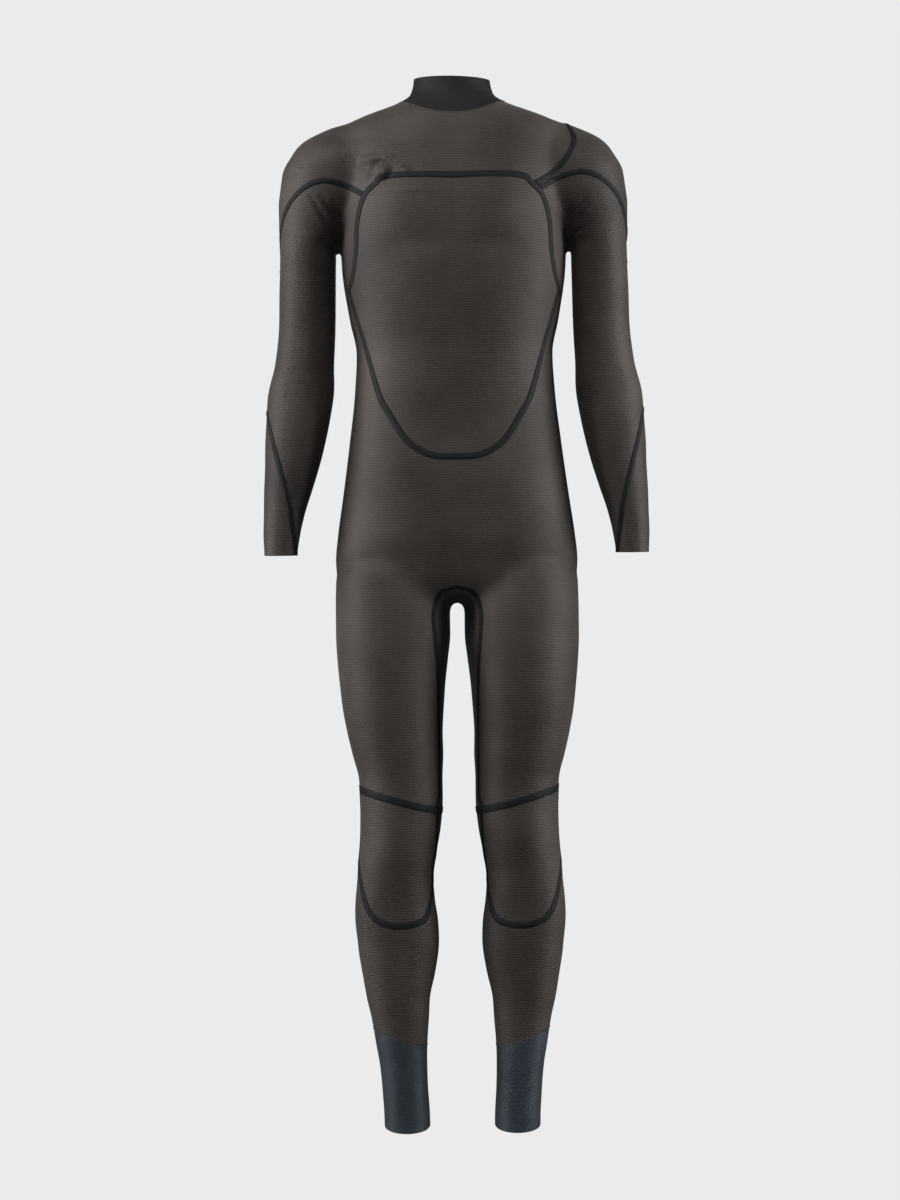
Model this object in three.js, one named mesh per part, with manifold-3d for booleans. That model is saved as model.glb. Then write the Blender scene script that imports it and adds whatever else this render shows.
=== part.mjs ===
// A full-length chest-zip wetsuit, standing empty in the shape of its wearer.
//
// Millimetres, +Z up. The origin is the middle of the neck opening, level with the foot of the collar
// at the front, where a hanger or a neck form holds the suit. The chest faces -Y.
import * as THREE from 'three';
import { mergeVertices } from 'three/addons/utils/BufferGeometryUtils.js';
import Module from 'manifold-3d';

const wasm = await Module();
wasm.setup();

// ---------------------------------------------------------------- driving dimensions

// Lengths, measured down from the origin.
const collarHeight = 50;
const torsoLength = 690;
const legLength = 732;
const sleeveLength = 592;
const shoulderDrop = 26;
const elbowDrop = 385;
const kneeDrop = 985;
const ankleCuffDrop = 1293;
const ankleCuffSlope = 0.32;

// Half breadths of the suit at its named girths.
const neckHalf = 54;
const chestHalf = 158;
const waistHalf = 137;
const hipHalf = 170;
const thighHalf = 80;
const kneeHalf = 54;
const calfHalf = 58;
const ankleHalf = 32;
const upperArmHalf = 40;
const elbowHalf = 46;
const wristHalf = 23;

// Cloth.
const neopreneThickness = 3.5;
const tapeThickness = 0.8;
const gap = 0.3;
const chestTapeWidth = 9.5;
const sleeveTapeWidth = 8;
const crotchTapeWidth = 7.5;
const kneeTapeWidth = 10;
const backTapeWidth = 9.5;

// Seams, as drops from the origin and half breadths.
const collarSeamSlope = 0.3;
const collarSeamDrop = -8;
const collarSeamHalf = 76;
const collarSeamDepth = 92;
const chestSeamDrop = 105;
const chestPanelBottom = 486;
const chestPanelWaist = 253;
const chestPanelHalf = 145;
const backPanelTop = 92;
const backPanelBottom = 540;
const backPanelHalf = 130;
const gussetTop = 664;
const gussetHalf = 32;
const kneeSeamDrop = 958;
const kneeSeamSlope = 0.27;
const kneePadLength = 146;
const kneePadHalf = 50;
const kneeMiddle = 88;
const sideSeam = 8;
const sleeveStart = chestHalf - 8;

// Zip across the chest, behind the chest seam.
const zipLength = 190;
const zipArcRadius = 330;
const zipTapeHeight = 13;
const zipTapeThickness = 0.9;
const zipTapeFront = -1.8;
const toothPitch = 8;
const toothWidth = 3.4;
const toothHeight = 2.4;
const toothThickness = 2;
const toothSpine = 1.6;
const zipSlot = 1.4;
const sliderLength = 12;
const sliderHeight = 9.2;
const sliderPlate = 1.2;
const bladeThickness = 0.7;
const stopLength = 4;
const pullerLength = 34;
const pullerWidth = 9;
const pullerThickness = 1.6;
const pullerPinRadius = 1.1;

// Fineness of the solids.
const torsoSides = 22;
const limbSides = 12;
const farAway = 400;

// ---------------------------------------------------------------- solids

function toSolid(geometry) {
  const bare = geometry.clone();
  bare.deleteAttribute('normal');
  bare.deleteAttribute('uv');
  const merged = mergeVertices(bare, 1e-4);
  return new wasm.Manifold(
    new wasm.Mesh({
      numProp: 3,
      vertProperties: new Float32Array(merged.attributes.position.array),
      triVerts: new Uint32Array(merged.index.array),
    }),
  );
}

function toGeometry(solid) {
  const mesh = solid.getMesh();
  const geometry = new THREE.BufferGeometry();
  geometry.setAttribute('position', new THREE.BufferAttribute(mesh.vertProperties, 3));
  geometry.setIndex(new THREE.BufferAttribute(mesh.triVerts, 1));
  geometry.computeVertexNormals();
  return geometry;
}

function box(low, high) {
  const geometry = new THREE.BoxGeometry(high[0] - low[0], high[1] - low[1], high[2] - low[2]);
  geometry.translate((low[0] + high[0]) / 2, (low[1] + high[1]) / 2, (low[2] + high[2]) / 2);
  return toSolid(geometry);
}

const everything = 2500;
const below = (z) => box([-everything, -everything, -everything], [everything, everything, z]);
const above = (z) => box([-everything, -everything, z], [everything, everything, everything]);

// ---------------------------------------------------------------- the wearer's shape

// One level of a limb or of the torso: an oval that may be deeper behind its middle than in front.
function level(z, middle, half, front, back, squareness = 2) {
  return { z, middle, half, front, back, squareness };
}

function ovalRing(at, grow, sides) {
  const ring = [];
  const power = 2 / at.squareness;
  for (let i = 0; i < sides; i += 1) {
    const turn = (2 * Math.PI * i) / sides;
    const c = Math.cos(turn);
    const s = Math.sin(turn);
    const depth = s < 0 ? at.front : at.back;
    const x = at.middle[0] + Math.sign(c) * Math.abs(c) ** power * (at.half + grow);
    const y = at.middle[1] + Math.sign(s) * Math.abs(s) ** power * (depth + grow);
    ring.push([x, y, at.z]);
  }
  return ring;
}

// A closed body through a stack of levels, listed from the top down.
function loft(levels, grow, sides) {
  const positions = [];
  const faces = [];
  for (const at of levels) positions.push(...ovalRing(at, grow, sides).flat());
  for (let row = 0; row + 1 < levels.length; row += 1) {
    for (let i = 0; i < sides; i += 1) {
      const a = row * sides + i;
      const b = row * sides + ((i + 1) % sides);
      faces.push(a, a + sides, b, b, a + sides, b + sides);
    }
  }
  const ends = [levels[0], levels[levels.length - 1]];
  ends.forEach((at, end) => {
    const hub = positions.length / 3;
    const start = end === 0 ? 0 : (levels.length - 1) * sides;
    positions.push(at.middle[0], at.middle[1], at.z);
    for (let i = 0; i < sides; i += 1) {
      const a = start + i;
      const b = start + ((i + 1) % sides);
      if (end === 0) faces.push(hub, a, b);
      else faces.push(hub, b, a);
    }
  });
  const geometry = new THREE.BufferGeometry();
  geometry.setAttribute('position', new THREE.Float32BufferAttribute(positions, 3));
  geometry.setIndex(faces);
  return toSolid(geometry);
}

const onTorso = (share) => -share * torsoLength;
const onLeg = (share) => -torsoLength - share * legLength;
const onSleeve = (share) => -shoulderDrop - share * sleeveLength;

// Neck, shoulders, chest, waist and hips. The last level closes between the legs.
function torsoLevels(grow, past) {
  const at = (z, half, front, back, squareness = 2.3) => level(z, [0, 0], half, front, back, squareness);
  return [
    level(collarHeight + past, [0, 3], neckHalf - 1, 52, 55),
    level(collarHeight * 0.5, [0, 3], neckHalf + 4, 56, 60),
    level(collarHeight * 0.2, [0, 2], neckHalf + 27, 64, 72, 2.1),
    at(0, 106, 71, 80, 2.1),
    at(onTorso(0.011), 130, 78, 86, 2.1),
    at(onTorso(0.033), 156, 87, 94, 2.2),
    at(onTorso(0.15), chestHalf + 4, 115, 109),
    at(onTorso(0.23), chestHalf + 1, 121, 109),
    at(onTorso(0.42), waistHalf + 9, 109, 94),
    at(onTorso(0.49), waistHalf, 101, 87),
    at(onTorso(0.67), waistHalf + 11, 97, 98),
    at(onTorso(0.86), hipHalf - 5, 94, 119),
    at(onTorso(0.94), hipHalf - 5, 88, 115),
    at(onTorso(0.985), hipHalf - 50, 72, 92),
    at(onTorso(1) - grow, hipHalf - 100, 50, 66),
  ];
}

// One leg, from inside the hips to the ankle hem.
function legLevels(side, past) {
  const at = (share, x, half, front, back) => level(onLeg(share), [side * x, 0], half, front, back, 2.1);
  return [
    at(-0.1, 84, thighHalf - 12, 70, 90),
    at(-0.05, 89, thighHalf, 82, 106),
    at(0.012, 90, thighHalf, 84, 100),
    at(0.19, 91, thighHalf - 9, 78, 76),
    at(0.28, 85.5, thighHalf - 16, 70, 67),
    at(0.36, 80.5, kneeHalf + 3.5, 63, 61),
    at(0.465, 85.5, kneeHalf, 57, 59),
    at(0.56, 91, calfHalf - 2.5, 50, 68),
    at(0.61, 89, calfHalf, 49, 71),
    at(0.74, 88, calfHalf - 12.5, 42, 57),
    at(0.83, 84, ankleHalf + 4, 37, 45),
    at(0.92, 79.5, ankleHalf, 35, 39),
    at(1 + past / legLength, 77, ankleHalf, 35, 38),
  ];
}

// One sleeve, from inside the shoulder to the wrist hem.
function sleeveLevels(side, grow, past) {
  const at = (share, x, half, front, back, lift = 0) =>
    level(onSleeve(share) + lift, [side * x, -2 - 29 * Math.max(share, 0) ** 2], half, front, back);
  return [
    at(-0.015, 150, 12, 14, 16, grow),
    at(0, 154, 27, 30, 32, grow / 2),
    at(0.026, 163, 46, 43, 46),
    at(0.1, 174, 64, 54, 56),
    at(0.16, 180, 63, 54, 55),
    at(0.21, 187, 57, 52, 52),
    at(0.31, 203, upperArmHalf, 46, 48),
    at(0.545, 209, upperArmHalf + 1, 42, 45),
    at(0.625, 215, elbowHalf, 42, 45),
    at(0.78, 226, elbowHalf - 7, 38, 34),
    at(0.94, 241, wristHalf + 4, 28, 26),
    at(1 + past / sleeveLength, 244, wristHalf, 26, 25),
  ];
}

const torso = (grow, past = 0) => loft(torsoLevels(grow, past), grow, torsoSides);
const leg = (side, grow, past = 0) => loft(legLevels(side, past), grow, limbSides);
const sleeve = (side, grow, past = 0) => loft(sleeveLevels(side, grow, past), grow, limbSides);

const bothSides = [-1, 1];
const spare = 30;

// The whole outside, grown outwards by so much, as three kinds of solid that meet at elbow and knee.
function upperBody(grow, past) {
  let all = torso(grow, past);
  for (const side of bothSides) {
    const forearm = sleeve(side, grow + spare, spare).intersect(below(-elbowDrop + gap / 2));
    all = all.add(sleeve(side, grow, past).subtract(forearm));
    all = all.add(leg(side, grow, past));
  }
  return all.intersect(above(-kneeDrop + gap / 2));
}

const forearm = (side, grow, past) => sleeve(side, grow, past).intersect(below(-elbowDrop - gap / 2));
const shin = (side, grow, past) => leg(side, grow, past).intersect(below(-kneeDrop - gap / 2));

// A wall of neoprene, open wherever the inner solid runs past the outer one.
function wall(makeSolid) {
  return makeSolid(0, 0).subtract(makeSolid(-neopreneThickness, spare));
}

function tapeLayer(makeSolid) {
  return makeSolid(gap + tapeThickness, 0).subtract(makeSolid(gap, spare));
}

// ---------------------------------------------------------------- outlines seen from the front

const point = (x, drop) => new THREE.Vector2(x, -drop);

// A smooth line through a few points.
function smooth(points, steps) {
  return new THREE.SplineCurve(points).getPoints(steps);
}

// Moves every point of a line sideways, to its left for a positive distance, with mitred corners.
function shifted(points, distance, closed) {
  const count = points.length;
  const leftOf = (i) => {
    const from = points[(i + count) % count];
    const to = points[(i + 1) % count];
    return new THREE.Vector2(from.y - to.y, to.x - from.x).normalize();
  };
  return points.map((p, i) => {
    const before = closed || i > 0 ? leftOf(i - 1) : leftOf(i);
    const after = closed || i < count - 1 ? leftOf(i) : leftOf(i - 1);
    const mitre = distance / Math.max(1 + before.dot(after), 0.5);
    return new THREE.Vector2(p.x + (before.x + after.x) * mitre, p.y + (before.y + after.y) * mitre);
  });
}

// A closed outline made larger all round, whichever way round it is listed.
function grown(outline, by) {
  return shifted(outline, THREE.ShapeUtils.isClockWise(outline) ? by : -by, true);
}

// A prism along Y of an outline in X and Z.
function prism(outline, nearY, farY, holes = []) {
  const shape = new THREE.Shape(outline);
  for (const hole of holes) shape.holes.push(new THREE.Path(hole));
  const geometry = new THREE.ExtrudeGeometry(shape, { depth: farY - nearY, bevelEnabled: false, steps: 1 });
  geometry.rotateX(Math.PI / 2);
  geometry.translate(0, farY, 0);
  return toSolid(geometry);
}

const inFront = (outline, holes) => prism(outline, -farAway, sideSeam, holes);
const inBack = (outline, holes) => prism(outline, sideSeam, farAway, holes);
const rightThrough = (outline, holes) => prism(outline, -farAway, farAway, holes);

// The strip of a given width along an open or closed line.
function band(line, width, closed, extrude) {
  const left = shifted(line, width / 2, closed);
  const right = shifted(line, -width / 2, closed);
  if (!closed) return extrude([...left, ...right.reverse()]);
  return extrude(right, [left]);
}

// A closed line from its right half, listed from the top middle round to the bottom middle,
// running clockwise as the front view shows it, so that its left side is its inside.
function mirrored(half) {
  const rightSide = half.filter((p) => p.x > 0);
  const leftSide = rightSide.map((p) => new THREE.Vector2(-p.x, p.y)).reverse();
  return [...rightSide, ...leftSide].reverse();
}

function chestLine() {
  const top = chestSeamDrop;
  const cusp = chestPanelWaist;
  const foot = chestPanelBottom;
  const half = chestPanelHalf;
  const upper = smooth(
    [
      point(half - 57, top - 1),
      point(half - 38, top + 9),
      point(half - 22, top + 26),
      point(half - 11.5, top + 62),
      point(half - 10, top + 105),
      point(half, cusp),
    ],
    7,
  );
  const lower = smooth(
    [
      point(half, cusp),
      point(half - 20, cusp + 72),
      point(half - 40, cusp + 145),
      point(half - 75, foot - 26),
      point(half - 105, foot - 6),
      point(1, foot),
    ],
    7,
  );
  return mirrored([...upper, ...lower.slice(1)]);
}

function backLine() {
  const half = backPanelHalf;
  return mirrored(
    smooth(
      [
        point(1, backPanelTop),
        point(half - 28, backPanelTop + 2),
        point(half - 6, backPanelTop + 22),
        point(half, backPanelTop + 90),
        point(half - 13, backPanelTop + 240),
        point(half - 4, backPanelBottom - 80),
        point(half - 18, backPanelBottom - 30),
        point(half - 62, backPanelBottom - 6),
        point(1, backPanelBottom),
      ],
      12,
    ),
  );
}

// The seam over the front of one shoulder, from the chest panel's corner to the outside of the sleeve.
function underarmLine(side) {
  const start = chestSeamDrop;
  return smooth(
    [
      point(side * 108, start + 12),
      point(side * 138, start + 8),
      point(side * 172, start),
      point(side * 204, start + 8),
      point(side * 228, start + 32),
      point(side * 244, start + 85),
    ],
    9,
  );
}

// The seam from the outside of the elbow down to the inside of the wrist.
function forearmLine(side) {
  const hem = shoulderDrop + sleeveLength;
  return smooth(
    [
      point(side * 272, elbowDrop + 8),
      point(side * 262, elbowDrop + 40),
      point(side * 249, elbowDrop + 95),
      point(side * 231, elbowDrop + 165),
      point(side * 223, hem - 9),
    ],
    8,
  );
}

// The arch over the crotch and down the inner side of both thighs.
function crotchLine() {
  const foot = kneeSeamDrop - 18;
  const half = [
    point(1, gussetTop),
    point(gussetHalf - 12, gussetTop + 7),
    point(gussetHalf - 2, gussetTop + 20),
    point(gussetHalf + 1, gussetTop + 44),
    point(gussetHalf - 2, gussetTop + 90),
    point(gussetHalf - 1, gussetTop + 170),
    point(gussetHalf + 8, foot),
  ];
  const rightSide = smooth(half, 12);
  const leftSide = rightSide.map((p) => new THREE.Vector2(-p.x, p.y)).reverse();
  return [...leftSide, ...rightSide];
}

// The round lower edge of one knee pad, with both ends on the knee line.
function kneePadLine(side) {
  const top = kneeDrop;
  const foot = kneeDrop + kneePadLength;
  const out = (x) => side * (kneeMiddle + x);
  return smooth(
    [
      point(out(kneePadHalf + 5), top + 3),
      point(out(kneePadHalf + 2), top + 60),
      point(out(kneePadHalf - 4), foot - 36),
      point(out(kneePadHalf - 22), foot - 7),
      point(out(0), foot),
      point(out(22 - kneePadHalf), foot - 7),
      point(out(5 - kneePadHalf), foot - 40),
      point(out(-2 - kneePadHalf), top + 60),
      point(out(-5 - kneePadHalf), top + 3),
    ],
    12,
  );
}

function kneeSeamLine(side) {
  const reach = 90;
  const drop = (x) => kneeSeamDrop - kneeSeamSlope * x;
  return [point(side * (kneeMiddle - reach + 4), drop(4 - reach)), point(side * (kneeMiddle + reach), drop(reach))];
}

// ---------------------------------------------------------------- regions of the pattern

// Everything on one side of a slanted plane through a line along Y or along X.
function aboveCollarSeam(by) {
  const slab = new THREE.BoxGeometry(2 * farAway, 2 * farAway, farAway);
  slab.translate(0, 0, farAway / 2);
  slab.rotateX(Math.atan(collarSeamSlope));
  slab.translate(0, 0, -collarSeamDrop - by);
  const ring = new THREE.CylinderGeometry(1, 1, 2 * farAway, 32);
  ring.rotateX(Math.PI / 2);
  ring.scale(collarSeamHalf + by, collarSeamDepth + by, 1);
  return toSolid(slab).intersect(toSolid(ring));
}

function belowCuffSeam(side, lift) {
  const slab = new THREE.BoxGeometry(farAway, farAway, farAway);
  slab.translate(0, 0, -farAway / 2);
  slab.rotateY(-side * Math.atan(ankleCuffSlope));
  slab.translate(side * 82, 0, -ankleCuffDrop + lift);
  return toSolid(slab);
}

function underarmOutline(side) {
  const inner = chestHalf + 4;
  return [
    point(side * 80, chestSeamDrop + 25),
    ...underarmLine(side),
    point(side * 300, chestSeamDrop + 100),
    point(side * 300, elbowDrop + 40),
    point(side * inner, elbowDrop + 40),
    point(side * inner, chestPanelWaist + 6),
    point(side * (chestPanelHalf - 6), chestPanelWaist + 2),
    point(side * 80, chestPanelWaist - 20),
  ];
}

function sideOfChest(side) {
  const inner = 40;
  return [
    point(side * inner, chestPanelWaist - 73),
    point(side * (chestHalf + 60), chestPanelWaist - 73),
    point(side * (chestHalf + 4), chestPanelWaist - 60),
    point(side * (chestHalf + 4), chestPanelWaist + 6),
    point(side * (chestPanelHalf - 6), chestPanelWaist + 2),
    point(side * inner, chestPanelWaist - 20),
  ];
}

function lowerBodyOutline() {
  const armSide = chestHalf + 4;
  return [
    point(-60, chestPanelWaist - 20),
    point(-armSide, chestPanelWaist + 2),
    point(-armSide, elbowDrop + 20),
    point(-farAway, elbowDrop + 20),
    point(-farAway, kneeDrop + 20),
    point(farAway, kneeDrop + 20),
    point(farAway, elbowDrop + 20),
    point(armSide, elbowDrop + 20),
    point(armSide, chestPanelWaist + 2),
    point(60, chestPanelWaist - 20),
  ];
}

function gussetOutline() {
  const foot = kneeDrop + 20;
  return [point(-gussetHalf - 12, foot), ...crotchLine(), point(gussetHalf + 12, foot)];
}

function seatOutline() {
  const top = backPanelBottom - 34;
  return [
    point(-farAway, top),
    point(farAway, top),
    point(farAway, kneeDrop + 20),
    point(-farAway, kneeDrop + 20),
  ];
}

// The sleeves leave the yoke at an upright plane over the point of each shoulder.
function outerSleeveRegion(side, by) {
  const edges = [side * (sleeveStart - by), side * farAway].sort((a, b) => a - b);
  return box([edges[0], -farAway, -elbowDrop - spare], [edges[1], farAway, collarHeight]);
}

function underarmRegion(side, by) {
  const sleeveFront = prism(grown(underarmOutline(side), by), -farAway, sideSeam + by);
  return sleeveFront.add(rightThrough(grown(sideOfChest(side), by)));
}

// Each panel leaves half the gap inside its own region and takes half off its neighbours.
const regions = {
  collar: (by) => aboveCollarSeam(by),
  chest_panel: (by) => inFront(grown(chestLine(), by)),
  back_panel: (by) => inBack(grown(backLine(), by)),
  crotch_gusset: (by) => rightThrough(grown(gussetOutline(), by)),
  seat_panel: (by) => prism(grown(seatOutline(), by), sideSeam - by, farAway),
  underarm_panel_right: (by) => underarmRegion(-1, by),
  underarm_panel_left: (by) => underarmRegion(1, by),
  lower_body: (by) => rightThrough(grown(lowerBodyOutline(), by)),
  outer_sleeve_right: (by) => outerSleeveRegion(-1, by),
  outer_sleeve_left: (by) => outerSleeveRegion(1, by),
};

function cutIntoPanels(shell, cuts, rest) {
  const panels = {};
  let left = shell;
  for (const [name, region] of Object.entries(cuts)) {
    panels[name] = left.intersect(region(-gap / 2));
    left = left.subtract(region(gap / 2));
  }
  panels[rest] = left;
  return panels;
}

// ---------------------------------------------------------------- materials

function cloth(color, roughness = 0.85) {
  return new THREE.MeshStandardMaterial({ color, roughness, metalness: 0 });
}

const jersey = cloth(0x45413d);
const taping = cloth(0x2b2a29, 0.7);
const collarSkin = cloth(0x2b2a28, 0.75);
const cuffSkin = cloth(0x2d343c, 0.6);
const zipCloth = cloth(0x222222);
const zipPlastic = new THREE.MeshStandardMaterial({ color: 0x1c1c1d, roughness: 0.45, metalness: 0 });

// ---------------------------------------------------------------- assembly

const suit = new THREE.Group();
suit.name = 'wetsuit';

function addPiece(name, solid, material) {
  const piece = new THREE.Mesh(toGeometry(solid), material);
  piece.name = name;
  suit.add(piece);
}

// The largest single body of a cut, leaving out crumbs where two seams cross.
function largest(solid) {
  const bodies = solid.decompose();
  bodies.sort((a, b) => b.volume() - a.volume());
  return bodies[0];
}

function addPanels() {
  const panels = cutIntoPanels(wall(upperBody), regions, 'yoke');
  for (const [name, solid] of Object.entries(panels)) {
    addPiece(name, largest(solid), name === 'collar' ? collarSkin : jersey);
  }
}

const sideName = (side) => (side < 0 ? 'right' : 'left');

function addForearm(side) {
  const shell = wall((grow, past) => forearm(side, grow, past));
  const line = forearmLine(side);
  const pastHem = shoulderDrop + sleeveLength + 40;
  const outline = [
    point(side * 140, elbowDrop - 40),
    point(side * 300, elbowDrop - 40),
    point(side * 300, elbowDrop + 4),
    ...line,
    point(line[line.length - 1].x, pastHem),
    point(side * 140, pastHem),
  ];
  const front = (by) => prism(grown(outline, by), -farAway, sideSeam + by);
  const name = sideName(side);
  addPiece(`forearm_front_${name}`, largest(shell.intersect(front(-gap / 2))), jersey);
  addPiece(`forearm_outer_${name}`, largest(shell.subtract(front(gap / 2))), jersey);
  const strip = band(line, sleeveTapeWidth, false, inFront);
  const layer = tapeLayer((grow, past) => forearm(side, grow, past));
  addPiece(`forearm_tape_${name}`, largest(layer.intersect(strip)), taping);
}

function addShin(side) {
  const shell = wall((grow, past) => shin(side, grow, past));
  const line = kneePadLine(side);
  const top = kneeDrop - 20;
  const outline = [point(line[0].x, top), ...line, point(line[line.length - 1].x, top)];
  const pad = (by) => prism(grown(outline, by), -farAway, by);
  const name = sideName(side);
  addPiece(`knee_pad_${name}`, largest(shell.intersect(pad(-gap / 2))), jersey);
  addPiece(`ankle_cuff_${name}`, largest(shell.intersect(belowCuffSeam(side, -gap / 2))), cuffSkin);
  const calf = shell.subtract(pad(gap / 2)).subtract(belowCuffSeam(side, gap / 2));
  addPiece(`calf_panel_${name}`, largest(calf), jersey);
  const strip = band(line, crotchTapeWidth, false, (o) => prism(o, -farAway, -gap));
  const layer = tapeLayer((grow, past) => shin(side, grow, past));
  addPiece(`knee_pad_tape_${name}`, largest(layer.intersect(strip)), taping);
}

function addUpperTapes() {
  const layer = tapeLayer(upperBody);
  const chest = band(chestLine(), chestTapeWidth, true, (o, h) => prism(o, -farAway, sideSeam, h));
  const keepClear = band(chestLine(), chestTapeWidth + 2 * gap, true, (o, h) => prism(o, -farAway, sideSeam, h));
  addPiece('chest_tape', largest(layer.intersect(chest)), taping);
  const entry = smooth(
    [
      point(100, chestSeamDrop + 16),
      point(134, chestSeamDrop - 6),
      point(156, chestSeamDrop - 28),
      point(168, chestSeamDrop - 58),
      point(164, chestSeamDrop - 78),
      point(152, chestSeamDrop - 100),
    ],
    9,
  );
  const entryStrip = band(entry, sleeveTapeWidth, false, inFront);
  const entryClear = band(entry, sleeveTapeWidth + 2 * gap, false, inFront);
  addPiece('entry_tape', largest(layer.intersect(entryStrip).subtract(keepClear)), taping);
  for (const side of bothSides) {
    const name = sideName(side);
    const over = band(underarmLine(side), sleeveTapeWidth, false, inFront);
    const outside = Math.min(side * 225, side * 300);
    const down = box(
      [outside, sideSeam - sleeveTapeWidth, -elbowDrop],
      [outside + 75, sideSeam, -chestSeamDrop - 75],
    );
    const strip = over.add(down).subtract(keepClear).subtract(entryClear);
    addPiece(`underarm_tape_${name}`, largest(layer.intersect(strip)), taping);
    const knee = band(kneeSeamLine(side), kneeTapeWidth, false, rightThrough);
    addPiece(`knee_top_tape_${name}`, largest(layer.intersect(knee)), taping);
  }
  const arch = (extrude) => band(crotchLine(), crotchTapeWidth, false, extrude);
  addPiece('crotch_tape', largest(layer.intersect(arch((o) => prism(o, -farAway, -gap)))), taping);
  const backClear = band(backLine(), backTapeWidth + 2 * gap, true, (o, h) => prism(o, gap, farAway, h));
  const seatStrip = arch((o) => prism(o, gap, farAway)).subtract(backClear);
  addPiece('seat_tape', largest(layer.intersect(seatStrip)), taping);
  addPiece('back_tape', largest(layer.intersect(band(backLine(), backTapeWidth, true, inBack))), taping);
}

// ---------------------------------------------------------------- zip

const zipBack = -99.4;
const zipMiddle = zipBack + zipArcRadius;
const zipHalfAngle = zipLength / 2 / zipArcRadius;

// Bends a straight piece, long in X, round the vertical axis of the zip's arc.
function bent(geometry) {
  const position = geometry.attributes.position;
  for (let i = 0; i < position.count; i += 1) {
    const angle = position.getX(i) / zipArcRadius;
    const radius = zipArcRadius - position.getY(i);
    position.setXY(i, radius * Math.sin(angle), zipMiddle - radius * Math.cos(angle));
  }
  return geometry;
}

// A small plate drawn in length and height, given a depth, and bent round the arc.
function bentPlate(outline, front, depth) {
  const geometry = new THREE.ExtrudeGeometry(new THREE.Shape(outline), { depth, bevelEnabled: false, steps: 1 });
  geometry.rotateX(Math.PI / 2);
  geometry.translate(0, front + depth, -chestSeamDrop);
  return toSolid(bent(geometry));
}

// A long bar bent round the arc in short straight steps.
function bentBar(from, to, front, depth, low, high, steps) {
  const geometry = new THREE.BoxGeometry(to - from, depth, high - low, steps, 1, 1);
  geometry.translate((from + to) / 2, front + depth / 2, (low + high) / 2 - chestSeamDrop);
  return toSolid(bent(geometry));
}

const zipSteps = 12;

// One half of the chain: a cord along the tape's edge with teeth towards the middle.
function chainHalf(up) {
  const reach = zipLength / 2 - stopLength - gap;
  const root = zipSlot / 2 + toothHeight;
  const cord = [up * root, up * (root + toothSpine)].sort((a, b) => a - b);
  let chain = bentBar(-reach, reach, 0, toothThickness, cord[0], cord[1], zipSteps);
  const count = Math.floor((2 * reach) / toothPitch);
  const first = (-count * toothPitch) / 2 + (toothPitch - toothWidth) / 2;
  const tooth = [(up * zipSlot) / 2, up * (root + toothSpine / 2)].sort((a, b) => a - b);
  for (let i = 0; i < count; i += 1) {
    const x = first + i * toothPitch;
    chain = chain.add(bentBar(x, x + toothWidth, 0, toothThickness, tooth[0], tooth[1], 1));
  }
  return chain;
}

function addZip() {
  const chainEdge = zipSlot / 2 + toothHeight + toothSpine;
  const tapeEdge = chainEdge + gap;
  const reach = zipLength / 2;
  for (const up of [1, -1]) {
    const name = up > 0 ? 'upper' : 'lower';
    const edges = [up * tapeEdge, up * (tapeEdge + zipTapeHeight)].sort((a, b) => a - b);
    const tape = bentBar(-reach, reach, zipTapeFront, zipTapeThickness, edges[0], edges[1], zipSteps);
    addPiece(`zip_tape_${name}`, tape, zipCloth);
    addPiece(`zip_teeth_${name}`, chainHalf(up), zipPlastic);
  }
  const stop = (from) => bentBar(from, from + stopLength, 0, toothThickness, -chainEdge, chainEdge, 1);
  addPiece('zip_stop_closed', stop(-reach), zipPlastic);
  addPiece('zip_stop_open', stop(reach - stopLength), zipPlastic);
  addSlider();
}

// Slider at its closed end: a plate each side of the chain and a thin blade through the slot.
const sliderStart = -zipLength / 2 + stopLength + sliderLength / 2 + 2 * gap;
function addSlider() {
  const left = sliderStart - sliderLength / 2;
  const right = sliderStart + sliderLength / 2;
  const half = sliderHeight / 2;
  const plate = [
    new THREE.Vector2(left, -half + 2),
    new THREE.Vector2(left + 2, -half),
    new THREE.Vector2(sliderStart, -half),
    new THREE.Vector2(right, -half + 3),
    new THREE.Vector2(right, half - 3),
    new THREE.Vector2(sliderStart, half),
    new THREE.Vector2(left + 2, half),
    new THREE.Vector2(left, half - 2),
  ];
  const blade = [
    new THREE.Vector2(left + 1, -bladeThickness / 2),
    new THREE.Vector2(right - 1, -bladeThickness / 2),
    new THREE.Vector2(right - 1, bladeThickness / 2),
    new THREE.Vector2(left + 1, bladeThickness / 2),
  ];
  const behindChain = toothThickness + gap;
  const front = bentPlate(plate, -gap - sliderPlate, sliderPlate);
  const rear = bentPlate(plate, behindChain, sliderPlate);
  const middle = bentPlate(blade, -gap - 0.1, toothThickness + 2 * gap + 0.2);
  const lug = bentPlate(
    [
      new THREE.Vector2(sliderStart - 5, 0.5),
      new THREE.Vector2(sliderStart + 5, 0.5),
      new THREE.Vector2(sliderStart + 5, 5.5),
      new THREE.Vector2(sliderStart - 5, 5.5),
    ],
    behindChain + sliderPlate - 0.1,
    4.6,
  );
  const pinHole = pullerSpace();
  addPiece('zip_slider', front.add(rear).add(middle).add(lug.subtract(pinHole)), zipPlastic);
  addPiece('zip_puller', puller(), zipPlastic);
}

const pinDepth = toothThickness + gap + sliderPlate + 2.4;
const pinHeight = 3;

function onSlider(geometry) {
  const angle = sliderStart / zipArcRadius;
  geometry.rotateZ(angle);
  const radius = zipArcRadius - pinDepth;
  geometry.translate(radius * Math.sin(angle), zipMiddle - radius * Math.cos(angle), -chestSeamDrop + pinHeight);
  return toSolid(geometry);
}

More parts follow.
